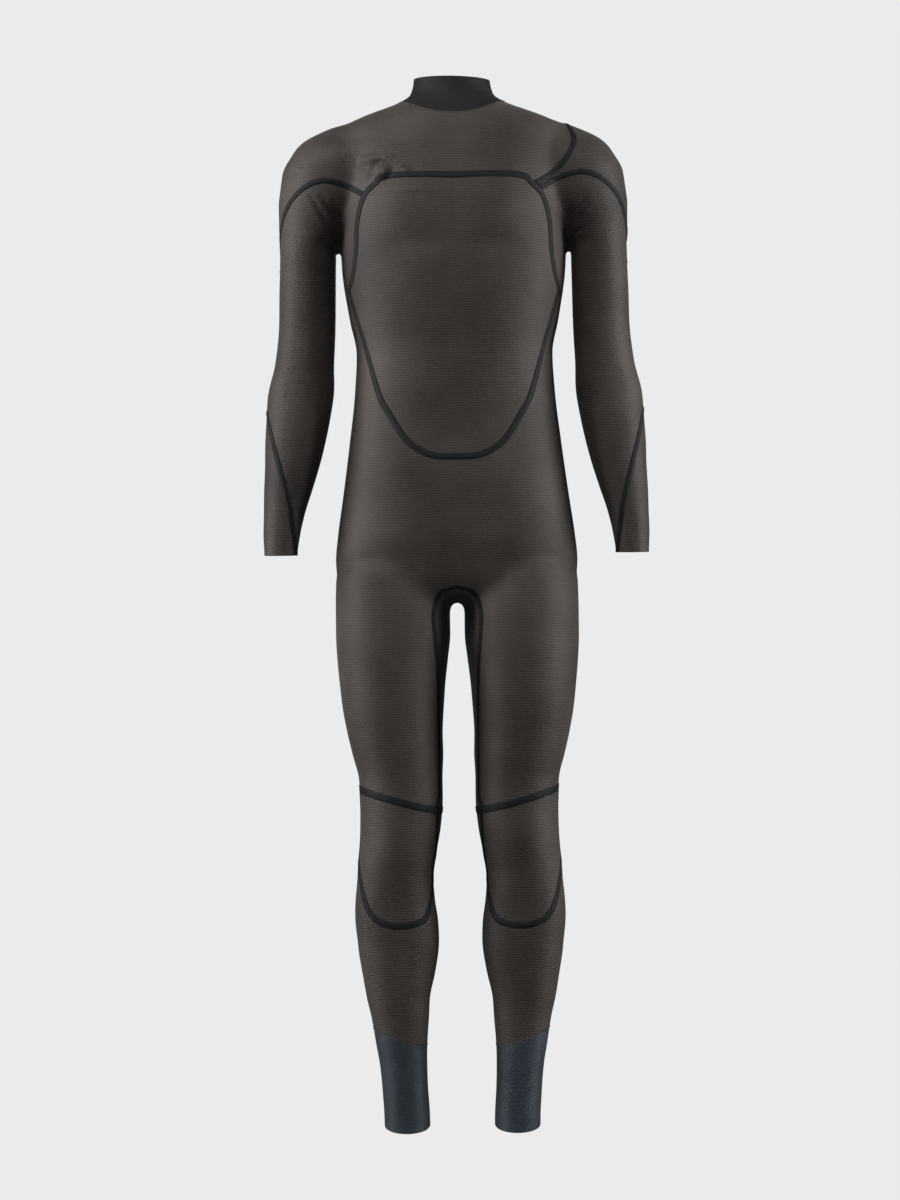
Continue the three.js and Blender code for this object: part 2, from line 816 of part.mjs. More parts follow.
// Room in the slider's lug for the puller's pin and its two arms.
function pullerSpace() {
  const hole = new THREE.CylinderGeometry(pullerPinRadius + gap, pullerPinRadius + gap, 30, 16);
  hole.rotateZ(Math.PI / 2);
  return onSlider(hole);
}

// Tab that hangs from a pin through the slider's lug, with an arm each side of the lug.
function puller() {
  const pin = new THREE.CylinderGeometry(pullerPinRadius, pullerPinRadius, 14, 12);
  pin.rotateZ(Math.PI / 2);
  const reach = 5 + gap;
  let tab = onSlider(pin);
  for (const side of bothSides) {
    const arm = new THREE.BoxGeometry(1.6, pullerThickness + 0.8, 11);
    arm.translate(side * (reach + 0.8), 0, -4.3);
    tab = tab.add(onSlider(arm));
  }
  const bridge = new THREE.BoxGeometry(2 * reach + 3.2, pullerThickness, 3);
  bridge.translate(0, 0, -9.5);
  const grip = new THREE.BoxGeometry(pullerWidth, pullerThickness, pullerLength - 10);
  grip.translate(0, 0, -10 - (pullerLength - 10) / 2);
  return tab.add(onSlider(bridge)).add(onSlider(grip));
}

addPanels();
for (const side of bothSides) addForearm(side);
for (const side of bothSides) addShin(side);
addUpperTapes();
addZip();

export default suit;
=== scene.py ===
"""A full-length chest-zip wetsuit, standing empty in the shape of its wearer.

The neoprene panels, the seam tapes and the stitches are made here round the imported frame.
Shapes are worked out in millimetres, in the frame's own axes: +Z up, the chest facing -Y, and the
origin in the neck opening. They turn into metres when a mesh is made.
"""
import math

import bpy
import numpy as np
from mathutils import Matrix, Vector


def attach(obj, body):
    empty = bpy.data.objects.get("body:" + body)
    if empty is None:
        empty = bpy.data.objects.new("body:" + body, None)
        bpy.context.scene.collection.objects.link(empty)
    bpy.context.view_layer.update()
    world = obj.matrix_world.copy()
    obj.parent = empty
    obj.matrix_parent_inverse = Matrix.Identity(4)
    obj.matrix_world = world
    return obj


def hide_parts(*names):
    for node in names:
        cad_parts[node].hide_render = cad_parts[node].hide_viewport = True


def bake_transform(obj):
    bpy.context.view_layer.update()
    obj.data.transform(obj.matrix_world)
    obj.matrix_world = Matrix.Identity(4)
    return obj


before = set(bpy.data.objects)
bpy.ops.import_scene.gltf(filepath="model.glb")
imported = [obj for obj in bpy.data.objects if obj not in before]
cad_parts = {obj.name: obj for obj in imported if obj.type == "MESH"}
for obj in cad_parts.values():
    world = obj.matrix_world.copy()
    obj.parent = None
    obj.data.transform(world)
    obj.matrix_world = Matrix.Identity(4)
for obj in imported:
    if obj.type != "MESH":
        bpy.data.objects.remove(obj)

for spare in ("Cube", "Light", "Camera"):
    if spare in bpy.data.objects:
        bpy.data.objects.remove(bpy.data.objects[spare])
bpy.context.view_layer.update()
METRE = 0.001
SIDES = ((-1, "right"), (1, "left"))

# ---------------------------------------------------------------- sizes, in millimetres

voxel = 3.2
neoprene = 3.5
tape_thickness = 0.9
chest_tape_width = 9.5
sleeve_tape_width = 8.0
crotch_tape_width = 7.5
knee_tape_width = 10.5
pad_tape_width = 9.5
side_seam = 8.0

elbow_drop = 385.0
knee_drop = 985.0
wrist_hem = 618.0
wrist_inside = 185.0
ankle_hem = 1422.0
ankle_hem_slope = 0.18
ankle_hem_front = 35.0
ankle_cuff_drop = 1293.0
ankle_cuff_middle = 82.0
ankle_cuff_slope = 0.32
collar_top = 50.0
collar_rim_drop = 4.5
collar_rim_slope = (-0.026, 0.07)
collar_seam_half = 76.0
collar_seam_depth = 92.0
collar_seam_slope = 0.3
collar_seam_height = 8.0

chest_seam = 105.0
chest_cusp = 253.0
chest_foot = 486.0
chest_half = 145.0
back_top = 92.0
back_foot = 540.0
back_half = 130.0
gusset_top = 664.0
gusset_half = 32.0
knee_seam = 958.0
knee_seam_slope = 0.27
knee_middle = 88.0
pad_foot = 1131.0
pad_half = 50.0
chest_breadth = 162.0
sleeve_start = 150.0
leg_top = 700.0
neck_seam_softness = 7.0
seam_overlap = 3.0
flank_height = 73.0
flank_inside = 40.0

# No sleeve tape runs down the flank below the armpit, nor round the back of the inner arm.
flank_tape_top = 150.0
flank_tape_reach = 163.0
inner_arm_back = -20.0
inner_arm_reach = 200.0
knee_tape_gap = 4.0

# Each bend starts at one height and ends at the other, about a line at this X and Y.
elbow_bend = (213.5, -12.6, -345.0, -435.0)
knee_bend = (82.6, 0.0, -975.0, -1065.0)

# The bump over the zip's slider, in X and Z.
slider_place = (-97.0, -99.0)

# ---------------------------------------------------------------- camera

# A long lens straight in front, level with the middle of the suit.
camera_distance = 3.6
view_height = 1.68
camera_level = -0.682
camera_side = -0.010
camera_roll = 0.6


def add_camera():
    data = bpy.data.cameras.new("camera")
    data.sensor_width = 36.0
    data.lens = data.sensor_width * camera_distance / view_height
    data.clip_end = 60.0
    camera = bpy.data.objects.new("camera", data)
    camera.location = (camera_side, -camera_distance, camera_level)
    camera.rotation_euler = (math.radians(90), math.radians(camera_roll), 0)
    bpy.context.scene.collection.objects.link(camera)
    bpy.context.scene.camera = camera


# ---------------------------------------------------------------- the wearer's shape

# Each level: drop, middle in X, middle in Y, half breadth, depth in front, depth behind, squareness.
TORSO = [
    (-80, 0, 3, 53, 52, 55, 2.0),
    (-50, 0, 3, 53, 52, 55, 2.0),
    (-25, 0, 3, 58, 56, 60, 2.0),
    (-10, 0, 2, 80, 64, 72, 2.1),
    (0, 0, 0, 106, 71, 80, 2.1),
    (8, 0, 0, 130, 78, 86, 2.1),
    (23, 0, 0, 156, 87, 94, 2.2),
    (60, 0, 0, 162, 103, 103, 2.3),
    (104, 0, 0, 162, 115, 109, 2.3),
    (159, 0, 0, 159, 121, 109, 2.3),
    (222, 0, 0, 156, 119, 104, 2.3),
    (290, 0, 0, 146, 109, 94, 2.3),
    (338, 0, 0, 137, 101, 87, 2.3),
    (393, 0, 0, 140, 98, 89, 2.3),
    (462, 0, 0, 148, 97, 98, 2.3),
    (530, 0, 0, 157, 96, 111, 2.3),
    (593, 0, 0, 166, 93, 119, 2.3),
    (625, 0, 0, 169, 86, 118, 2.3),
    (645, 0, 0, 168, 80, 114, 2.3),
    (664, 0, 0, 150, 70, 104, 2.3),
    (677, 0, 0, 105, 55, 82, 2.3),
    (684, 0, 0, 60, 38, 58, 2.3),
]
LEG = [
    (617, 84, 0, 68, 70, 90, 2.1),
    (653, 89, 0, 80, 82, 106, 2.1),
    (699, 90, 0, 80, 84, 100, 2.1),
    (729, 90, 0, 80, 84, 94, 2.1),
    (763, 91, 0, 77.5, 83, 86, 2.1),
    (797, 91.5, 0, 74, 81, 81, 2.1),
    (830, 91, 0, 71, 78, 76, 2.1),
    (864, 89, 0, 67, 74, 71, 2.1),
    (897, 85, 0, 63.5, 70, 66, 2.1),
    (931, 81.5, 0, 58.5, 65, 62, 2.1),
    (965, 80.5, 0, 57.5, 62, 60, 2.1),
    (998, 82, 0, 56, 60, 59, 2.1),
    (1032, 86, 0, 54, 57, 60, 2.1),
    (1065, 90.5, 0, 53, 53, 62, 2.1),
    (1099, 91, 0, 55.5, 50, 68, 2.1),
    (1133, 89, 0, 58, 49, 71, 2.1),
    (1166, 87, 0, 56.5, 47, 69, 2.1),
    (1200, 87, 0, 51.5, 44.5, 63, 2.1),
    (1233, 88, 0, 45, 42, 56, 2.1),
    (1267, 85.5, 0, 40, 39, 50, 2.1),
    (1301, 84, 0, 36, 37, 45, 2.1),
    (1334, 81.5, 0, 33, 35.5, 41, 2.1),
    (1368, 79.5, 0, 32, 35, 39, 2.1),
    (1401, 77.5, 0, 32, 35, 38, 2.1),
    (1455, 76.5, 0, 32, 35, 38, 2.1),
]
SLEEVE = [
    (17, 150, -2, 12, 14, 16, 2.0),
    (26, 154, -2, 27, 30, 32, 2.0),
    (41, 163, -2, 46, 43, 46, 2.0),
    (57, 158, -2, 65, 62, 62, 2.0),
    (85, 162, -2, 76, 71, 68, 2.0),
    (120, 171, -3, 72, 68, 64, 2.0),
    (150, 184, -3.5, 59.5, 58, 56, 2.0),
    (172, 195.5, -4, 47.5, 50, 50.5, 2.0),
    (182, 201, -4.3, 41, 48.5, 50, 2.0),
    (190, 203.6, -4.6, 38.6, 47.5, 49, 2.0),
    (212, 203.6, -5, 39, 46, 48, 2.0),
    (259, 204.5, -6.5, 39.5, 44, 46, 2.0),
    (293, 205, -8, 39.5, 43, 45, 2.0),
    (348, 209, -10.6, 41, 42, 45, 2.0),
    (396, 215, -13.3, 46, 42, 45, 2.0),
    (427, 218.5, -15.5, 44.5, 42, 41, 2.0),
    (461, 223, -18, 42, 40, 37, 2.0),
    (494, 227.5, -20, 38, 37.5, 34, 2.0),
    (528, 233.5, -23, 33.5, 34, 31, 2.0),
    (561, 239, -26, 28.5, 30, 28, 2.0),
    (595, 243, -29, 25, 27, 25.5, 2.0),
    (618, 244, -31, 23, 26, 25, 2.0),
    (655, 245, -34, 22.5, 26, 25, 2.0),
]


def even_levels(levels, step):
    """The levels at an even spacing, on one smooth curve through the given ones."""
    table = np.array(levels, float)
    drop = table[:, 0]
    rise = np.diff(table, axis=0) / np.diff(drop)[:, None]
    same = rise[:-1] * rise[1:] > 0
    mean = 2 * rise[:-1] * rise[1:] / np.where(same, rise[:-1] + rise[1:], 1)
    slope = np.vstack([rise[:1], np.where(same, mean, 0), rise[-1:]])
    at = np.linspace(drop[0], drop[-1], int((drop[-1] - drop[0]) / step) + 1)
    i = np.clip(np.searchsorted(drop, at, side="right") - 1, 0, len(drop) - 2)
    span = (drop[i + 1] - drop[i])[:, None]
    t = (at - drop[i])[:, None] / span
    rows = (
        (2 * t**3 - 3 * t**2 + 1) * table[i]
        + (t**3 - 2 * t**2 + t) * span * slope[i]
        + (3 * t**2 - 2 * t**3) * table[i + 1]
        + (t**3 - t**2) * span * slope[i + 1]
    )
    rows[:, 0] = at
    return rows


def loft(levels, side, sides=96, step=6.0):
    """A closed body through a stack of ovals: points and triangles."""
    rows = even_levels(levels, step)
    turn = np.linspace(0, 2 * np.pi, sides, endpoint=False)
    c, s = np.cos(turn), np.sin(turn)
    power = (2 / rows[:, 6])[:, None]
    depth = np.where(s < 0, rows[:, 4:5], rows[:, 5:6])
    x = side * (rows[:, 1:2] + np.sign(c) * np.abs(c) ** power * rows[:, 3:4])
    y = rows[:, 2:3] + np.sign(s) * np.abs(s) ** power * depth
    z = np.repeat(-rows[:, 0:1], sides, 1)
    points = np.stack([x, y, z], 2).reshape(-1, 3)
    count = len(rows)
    grid = np.arange(count * sides).reshape(count, sides)
    a, b = grid[:-1], np.roll(grid, -1, 1)[:-1]
    d, e = grid[1:], np.roll(grid, -1, 1)[1:]
    faces = [np.stack([a, d, b], 2).reshape(-1, 3), np.stack([b, d, e], 2).reshape(-1, 3)]
    for ring, flip in ((grid[0], False), (grid[-1], True)):
        hub = len(points)
        points = np.vstack([points, points[ring].mean(0)])
        fan = np.stack([np.full(sides, hub), ring, np.roll(ring, -1)], 1)
        faces.append(fan[:, ::-1] if flip else fan)
    faces = np.vstack(faces)
    return points, faces[:, ::-1] if side < 0 else faces


def new_mesh(name, points, faces):
    mesh = bpy.data.meshes.new(name)
    mesh.vertices.add(len(points))
    mesh.vertices.foreach_set("co", np.asarray(points, np.float32).ravel())
    mesh.loops.add(faces.size)
    mesh.loops.foreach_set("vertex_index", np.asarray(faces, np.int32).ravel())
    mesh.polygons.add(len(faces))
    mesh.polygons.foreach_set("loop_start", np.arange(0, faces.size, faces.shape[1], dtype=np.int32))
    mesh.update(calc_edges=True)
    mesh.validate()
    return mesh


def mesh_arrays(mesh):
    mesh.calc_loop_triangles()
    points = np.zeros(len(mesh.vertices) * 3, np.float32)
    faces = np.zeros(len(mesh.loop_triangles) * 3, np.int32)
    mesh.vertices.foreach_get("co", points)
    mesh.loop_triangles.foreach_get("vertices", faces)
    return points.reshape(-1, 3).astype(float), faces.reshape(-1, 3)


def joined_skin():
    """One closed skin round torso, sleeves and legs."""
    parts = [loft(TORSO, 1)]
    for side in (-1, 1):
        parts.append(loft(SLEEVE, side))
        parts.append(loft(LEG, side))
    points, faces, base = [], [], 0
    for p, f in parts:
        points.append(p)
        faces.append(f + base)
        base += len(p)
    mesh = new_mesh("skin", np.vstack(points) * METRE, np.vstack(faces))
    thing = bpy.data.objects.new("skin", mesh)
    bpy.context.scene.collection.objects.link(thing)
    remesh = thing.modifiers.new("even", "REMESH")
    remesh.mode = "VOXEL"
    remesh.voxel_size = voxel * METRE
    made = bpy.data.meshes.new_from_object(thing.evaluated_get(bpy.context.evaluated_depsgraph_get()))
    points, faces = mesh_arrays(made)
    bpy.data.objects.remove(thing)
    bpy.data.meshes.remove(made)
    bpy.data.meshes.remove(mesh)
    return points / METRE, faces


def edges_of(faces):
    pairs = np.concatenate([faces[:, [0, 1]], faces[:, [1, 2]], faces[:, [2, 0]]]).astype(np.int64)
    size = faces.max() + 1
    keys = np.unique(pairs.min(1) * size + pairs.max(1))
    return np.stack([keys // size, keys % size], 1)


def relaxed(points, faces, rounds, pull, push=0.0, share=None):
    """Smooths a skin: each point moves towards its neighbours' middle, and back again by push."""
    edges = edges_of(faces)
    a = np.concatenate([edges[:, 0], edges[:, 1]])
    b = np.concatenate([edges[:, 1], edges[:, 0]])
    around = np.bincount(a, minlength=len(points))[:, None]
    weight = 1.0 if share is None else share[:, None]
    for _ in range(rounds):
        for step in (pull, -push) if push else (pull,):
            total = np.stack([np.bincount(a, points[b, k], len(points)) for k in range(3)], 1)
            points = points + step * weight * (total / around - points)
    return points


def point_normals(points, faces):
    a, b, c = (points[faces[:, i]] for i in range(3))
    cross = np.cross(b - a, c - a)
    total = np.zeros_like(points)
    for k in range(3):
        for i in range(3):
            total[:, k] += np.bincount(faces[:, i], cross[:, k], len(points))
    return total / np.maximum(np.linalg.norm(total, axis=1, keepdims=True), 1e-9)


def mound(points, middle, spread):
    """1 at the middle, falling away by its spread along X, Y and Z."""
    away = (points - np.array(middle)) / np.array(spread)
    return np.exp(-(away**2).sum(1))


def crease(points, a, b, width):
    """1 along a line from a to b, dying away at both ends and to both sides."""
    a, b = np.array(a, float), np.array(b, float)
    t = np.clip(((points - a) @ (b - a)) / ((b - a) @ (b - a)), 0, 1)
    away = np.linalg.norm(points - a - t[:, None] * (b - a), axis=1)
    return np.exp(-((away / width) ** 2)) * np.sin(np.pi * np.clip(t, 0, 1)) ** 0.7


# Rounded forms on both sides of the suit: height, facing, middle and spread.
FORMS = [
    (5.0, "front", (66, -100, -142), (48, 80, 40)),  # chest muscle
    (-3.0, "front", (62, -120, -198), (40, 60, 16)),  # hollow under it
    (3.5, "back", (78, 95, -135), (36, 60, 62)),  # shoulder blade
    (8.0, "back", (74, 110, -618), (50, 70, 52)),  # seat
    (2.5, "front", (88, -60, -1012), (26, 40, 34)),  # kneecap
    (2.0, "back", (100, 66, -1120), (20, 40, 70)),  # outer calf
    (2.5, "back", (78, 66, -1130), (18, 40, 60)),  # inner calf
    (3.0, "back", (212, 28, -388), (22, 30, 30)),  # point of the elbow
    (-2.5, "front", (62, -90, -655), (20, 60, 40)),  # groin
]
FOLDS_AT_A_BEND = 3


def relief(points, normals):
    """How far the cloth stands out from the plain ovals, in millimetres."""
    facing = {"front": np.clip(-normals[:, 1] * 3, 0, 1), "back": np.clip(normals[:, 1] * 3, 0, 1)}
    x, z = points[:, 0], points[:, 2]
    out = np.zeros(len(points))
    for side in (-1, 1):
        for height, face, middle, spread in FORMS:
            out += height * facing[face] * mound(points, (side * middle[0], *middle[1:]), spread)
        out += armpit_folds(points, side, facing["front"])
        for k in range(FOLDS_AT_A_BEND):
            elbow = -elbow_drop + 14 - 15 * k
            out -= 1.0 * crease(points, (side * 190, -48, elbow), (side * 236, -52, elbow + 6), 4.4)
            knee = -knee_drop + 18 - 18 * k
            out -= 1.4 * crease(points, (side * 46, 52, knee), (side * 118, 54, knee + 5), 5.0)
    spine = np.exp(-((x / 15) ** 2)) * np.exp(-(((z + 300) / 190) ** 4))
    cleft = mound(points, (0, 110, -640), (10, 90, 55))
    breastbone = np.exp(-((x / 12) ** 2)) * mound(points, (0, -115, -170), (60, 80, 60))
    out -= 4.5 * facing["back"] * spine
    out -= 7.0 * facing["back"] * cleft
    out -= 1.5 * facing["front"] * breastbone
    out += zip_end(points, facing["front"])
    return out


# Folds at each armpit, as (X, Z) from the inner end to the outer one.
ARMPIT_FOLDS = {
    1: [
        ((157, -160), (184, -129)),
        ((159, -166), (188, -138)),
        ((160, -174), (182, -150)),
        ((161, -184), (175, -168)),
    ],
    -1: [((199, -120), (163, -182)), ((184, -122), (162, -160)), ((166, -130), (160, -168))],
}


def armpit_folds(points, side, front):
    """The groove between chest and arm, and the folds that run up and out from it."""
    flat = points * (1, 0, 1)
    out = -4.0 * front * crease(flat, (side * 157, 0, -135), (side * 161, 0, -200), 7.0)
    for start, end in ARMPIT_FOLDS[side]:
        a, b = (side * start[0], 0, start[1]), (side * end[0], 0, end[1])
        out -= 2.6 * front * crease(flat, a, b, 3.4)
        out += 1.6 * front * crease(flat + (0, 0, 6), a, b, 3.4)
    return out


def zip_end(points, front):
    """The zip's slider lifts the cloth at the wearer's right, with a fold above it."""
    flat = points * (1, 0, 1)
    x, z = slider_place
    rim = np.hypot(flat[:, 0] - x, flat[:, 2] - z)
    bump = 5.0 * np.exp(-((rim / 9.5) ** 4))
    above_tape = np.clip((flat[:, 2] - z + 7) / 6, 0, 1)
    bump -= 2.4 * np.exp(-(((rim - 14.5) / 3.4) ** 2)) * above_tape
    fold = 6.5 * crease(flat, (-130, 0, -78), (-78, 0, -79), 5.0)
    fold += 5.0 * crease(flat, (-94, 0, -77), (-56, 0, -97), 4.4)
    fold -= 2.0 * crease(flat, (-128, 0, -88), (-108, 0, -96), 4.5)
    fold -= 1.8 * crease(flat, (-84, 0, -90), (-66, 0, -99), 3.4)
    pull = 1.5 * crease(flat, (-96, 0, -124), (-14, 0, -129), 1.8)
    hollow = -2.0 * mound(flat, (-120, 0, -45), (26, 1, 10))
    hollow += 1.6 * mound(flat, (-90, 0, -58), (34, 1, 9))
    return front * (bump + fold + pull + hollow)


# Where limbs join the torso the skin is smoothed more: share, middle and spread, on both sides.
JOINS = [
    (1.0, (150, 0, -35), (34, 60, 22)),
    (1.0, (142, -60, -78), (46, 66, 52)),
    (0.8, (120, -10, -20), (40, 70, 24)),
    (0.6, (146, 60, -84), (34, 60, 46)),
]
CROTCH_JOINS = [
    (0.3, (0, 0, -680), (36, 120, 18)),
    (1.0, (0, 0, -662), (72, 120, 30)),
    (1.0, (0, -70, -640), (110, 50, 40)),
]


def skin():
    """The finished outer skin: points, normals and triangles."""
    points, faces = joined_skin()
    points = relaxed(points, faces, 12, 0.5, 0.52)
    tight = np.zeros(len(points))
    for side in (-1, 1):
        for share, middle, spread in JOINS:
            tight += share * mound(points, (side * middle[0], *middle[1:]), spread)
    for share, middle, spread in CROTCH_JOINS:
        tight += share * mound(points, middle, spread)
    points = relaxed(points, faces, 40, 0.6, 0.0, np.clip(tight, 0, 1))
    normals = point_normals(points, faces)
    points = points + normals * relief(points, normals)[:, None]
    points = relaxed(points, faces, 1, 0.5, 0.52)
    return points, point_normals(points, faces), faces


# ---------------------------------------------------------------- seams, seen from the front


def smooth_line(points, steps=8):
    """A smooth line through a few points."""
    p = np.array(points, float)
    p = np.vstack([2 * p[0] - p[1], p, 2 * p[-1] - p[-2]])
    t = np.linspace(0, 1, steps, endpoint=False)[:, None]
    pieces = []
    for i in range(1, len(p) - 2):
        a, b, c, d = p[i - 1], p[i], p[i + 1], p[i + 2]
        pieces.append(
            0.5 * (2 * b + (c - a) * t + (2 * a - 5 * b + 4 * c - d) * t**2 + (3 * b - a - 3 * c + d) * t**3)
        )
    return np.vstack(pieces + [p[-2:-1]])


def mirrored(half):
    """A closed outline from its right half, listed from the top to the bottom."""
    left = half[::-1] * np.array([-1, 1])
    return np.vstack([half, left])


def drops(points):
    """Points given as X and drop, as X and Z."""
    return np.array(points, float) * np.array([1, -1])


def chest_outline():
    half, cusp, foot, top = chest_half, chest_cusp, chest_foot, chest_seam
    upper = smooth_line(
        drops(
            [
                (0, top),
                (half - 57, top - 1),
                (half - 38, top + 9),
                (half - 22, top + 26),
                (half - 13, top + 58),
                (half - 11, top + 92),
                (half - 7, top + 122),
                (half, cusp),
            ]
        )
    )
    lower = smooth_line(
        drops(
            [
                (half, cusp),
                (half - 8, cusp + 31),
                (half - 20, cusp + 72),
                (half - 40, cusp + 145),
                (half - 54, cusp + 173),
                (half - 75, foot - 26),
                (half - 96, foot - 9),
                (half - 118, foot - 1),
                (0, foot),
            ]
        )
    )
    return mirrored(np.vstack([upper, lower[1:]]))


def back_outline():
    half = back_half
    return mirrored(
        smooth_line(
            drops(
                [
                    (0, back_top),
                    (half - 28, back_top + 2),
                    (half - 6, back_top + 22),
                    (half, back_top + 90),
                    (half - 13, back_top + 240),
                    (half - 4, back_foot - 80),
                    (half - 18, back_foot - 30),
                    (half - 62, back_foot - 6),
                    (0, back_foot),
                ]
            )
        )
    )


def underarm_line(side):
    """Over the front of a shoulder. It lies lower at the wearer's right, where the zip pulls the cloth."""
    top = chest_seam + (0 if side > 0 else 9)
    line = smooth_line(
        drops(
            [
                (100, top + 17),
                (122, top + 13),
                (140, top + 1),
                (166, top - 8),
                (186, top - 8.5),
                (206, top - 0.5),
                (223, top + 14),
                (234, top + 32),
                (240, top + 52),
                (243, top + 75),
                (244, top + 105),
            ]
        )
    )
    return line * np.array([side, 1])


def underarm_outline(side):
    inner = chest_breadth
    tail = drops(
        [
            (300, chest_seam + 110),
            (300, elbow_drop + 26),
            (262, elbow_drop + 34),
            (251, elbow_drop + 83),
            (236, elbow_drop + 141),
            (228, elbow_drop + 172),
            (223, wrist_hem - 12),
            (220, wrist_hem + 40),
            (193, wrist_hem + 40),
            (193, wrist_hem),
            (187, wrist_hem - 45),
            (178, wrist_hem - 90),
            (164, elbow_drop + 76),
            (155, elbow_drop + 8),
            (inner - 5, elbow_drop - 95),
            (inner - 3, chest_cusp + 7),
            (chest_half - 6, chest_cusp + 3),
            (80, chest_cusp - 20),
            (80, chest_seam + 25),
        ]
    )
    return np.vstack([underarm_line(side), tail * np.array([side, 1])])


def entry_line():
    top = chest_seam
    return smooth_line(
        drops(
            [
                (104, top + 14),
                (122, top + 3),
                (139, top - 10),
                (155, top - 27),
                (164, top - 43),
                (168, top - 58),
                (165, top - 72),
                (158, top - 90),
            ]
        )
    )


def crotch_line():
    foot = knee_seam - 4
    half = smooth_line(
        drops(
            [
                (0, gusset_top),
                (gusset_half - 13, gusset_top + 6),
                (gusset_half - 3, gusset_top + 19),
                (gusset_half + 1, gusset_top + 42),
                (gusset_half - 1, gusset_top + 68),
                (gusset_half - 4, gusset_top + 120),
                (gusset_half - 5, gusset_top + 190),
                (gusset_half - 5, gusset_top + 260),
                (gusset_half - 5, foot),
            ]
        )
    )
    return np.vstack([half[::-1] * np.array([-1, 1]), half[1:]])


def gusset_outline():
    foot = knee_drop + 40
    return np.vstack([crotch_line(), drops([(gusset_half + 20, foot), (-gusset_half - 20, foot)])])


def pad_outline(side):
    foot, half, top = pad_foot, pad_half, knee_seam
    line = smooth_line(
        drops(
            [
                (half + 3, top + 28),
                (half + 4, top + 70),
                (half + 1, top + 110),
                (half - 5, foot - 34),
                (half - 13, foot - 16),
                (half - 26, foot - 5),
                (-2, foot + 1),
                (19 - half, foot - 3),
                (8 - half, foot - 13),
                (2 - half, foot - 38),
                (-1 - half, foot - 75),
                (-6 - half, top + 60),
                (-8 - half, top + 20),
            ]
        )
    )
    line = np.vstack([drops([(half + 3, top - 60)]), line, drops([(-8 - half, top - 60)])])
    return (line + np.array([knee_middle, 0])) * np.array([side, 1])


def distance(points, outline, closed=True):
    """Distance in X and Z to a line, negative inside a closed one, and the line's pull on it."""
    flat = points[:, [0, 2]]
    reach = 24.0
    near = ((flat > outline.min(0) - reach) & (flat < outline.max(0) + reach)).all(1)
    away, pull, inside = line_distance(flat[near], outline, closed)
    best = np.full(len(flat), reach)
    best[near] = np.where(inside, -away, away)
    pulls = np.zeros((len(flat), 2))
    pulls[near] = pull
    return best, pulls


def line_distance(flat, outline, closed):
    ends = np.roll(outline, -1, 0) if closed else outline[1:]
    starts = outline if closed else outline[:-1]
    best = np.full(len(flat), 1e9)
    pull = np.zeros((len(flat), 2))
    inside = np.zeros(len(flat), bool)
    x, z = flat.T
    for a, b in zip(starts, ends):
        d = b - a
        t = np.clip(((x - a[0]) * d[0] + (z - a[1]) * d[1]) / max(d @ d, 1e-12), 0, 1)
        u, v = x - a[0] - t * d[0], z - a[1] - t * d[1]
        r = u * u + v * v
        closer = r < best
        best[closer] = r[closer]
        pull[closer, 0] = u[closer]
        pull[closer, 1] = v[closer]
        if closed and abs(d[1]) > 1e-12:
            crosses = (a[1] > z) != (b[1] > z)
            inside ^= crosses & (x < d[0] * (z - a[1]) / d[1] + a[0])
    best = np.sqrt(best)
    return best, pull / np.maximum(best, 1e-9)[:, None], inside


def on_cloth(points, normals, outline, closed=True):
    """The distance as measured over the cloth, which slopes away at the sides."""
    flat, pull = distance(points, outline, closed)
    lean = pull[:, 0] * normals[:, 0] + pull[:, 1] * normals[:, 2]
    return flat / np.sqrt(np.clip(1 - lean**2, 0.09, 1))


# ---------------------------------------------------------------- regions of the pattern

# Each region gives a number at every point: negative inside, 0 on its seam, in millimetres.


def lean_over_y(normals):
    """How much of a step over the cloth shows along Y, never under 0.3."""
    return np.sqrt(np.clip(1 - normals[:, 1] ** 2, 0.09, 1))


def in_front_of_side(p, n):
    return (p[:, 1] - side_seam) / lean_over_y(n)


def collar_region(p, n):
    plane = (collar_seam_height + collar_seam_slope * p[:, 1]) - p[:, 2]
    ring = (np.hypot(p[:, 0] / collar_seam_half, p[:, 1] / collar_seam_depth) - 1) * collar_seam_half
    soft = neck_seam_softness
    return soft * np.log(np.exp(plane / soft) + np.exp(np.minimum(ring, 200) / soft))


def chest_region(p, n):
    return np.maximum(on_cloth(p, n, chest_outline()), p[:, 1] - side_seam)


def back_region(p, n):
    return np.maximum(on_cloth(p, n, back_outline()), side_seam - p[:, 1])


def gusset_region(p, n):
    return on_cloth(p, n, gusset_outline())


def knee_line(p, n):
    """Negative above the seam across the top of the knee."""
    return ((-knee_seam + knee_seam_slope * (np.abs(p[:, 0]) - knee_middle)) - p[:, 2]) * 0.97


def seat_region(p, n):
    top = p[:, 2] + back_foot - 34
    behind = (side_seam - p[:, 1]) / lean_over_y(n)
    return np.maximum(np.maximum(top, behind), knee_line(p, n))


def underarm_region(side):
    """The front of a sleeve, with the side of the chest that it runs into."""

    def region(p, n):
        sleeve = np.maximum(on_cloth(p, n, underarm_outline(side)), in_front_of_side(p, n))
        low, high = -chest_cusp - seam_overlap, -chest_cusp + flank_height
        flank = np.maximum(np.maximum(low - p[:, 2], p[:, 2] - high), flank_inside - side * p[:, 0])
        flank = np.maximum(flank, side * p[:, 0] - chest_breadth - seam_overlap)
        return np.minimum(sleeve, flank)

    return region


def pad_region(side):
    def region(p, n):
        inside = np.maximum(on_cloth(p, n, pad_outline(side)), p[:, 1])
        return np.maximum(inside, -knee_line(p, n))

    return region


def cuff_region(p, n):
    slope = ankle_cuff_slope * (np.abs(p[:, 0]) - ankle_cuff_middle)
    return (p[:, 2] + ankle_cuff_drop - slope) * 0.95


def sleeve_region(p, n):
    """The upright line that parts each sleeve's outside from the yoke."""
    return np.abs(p[:, 0]) - sleeve_start


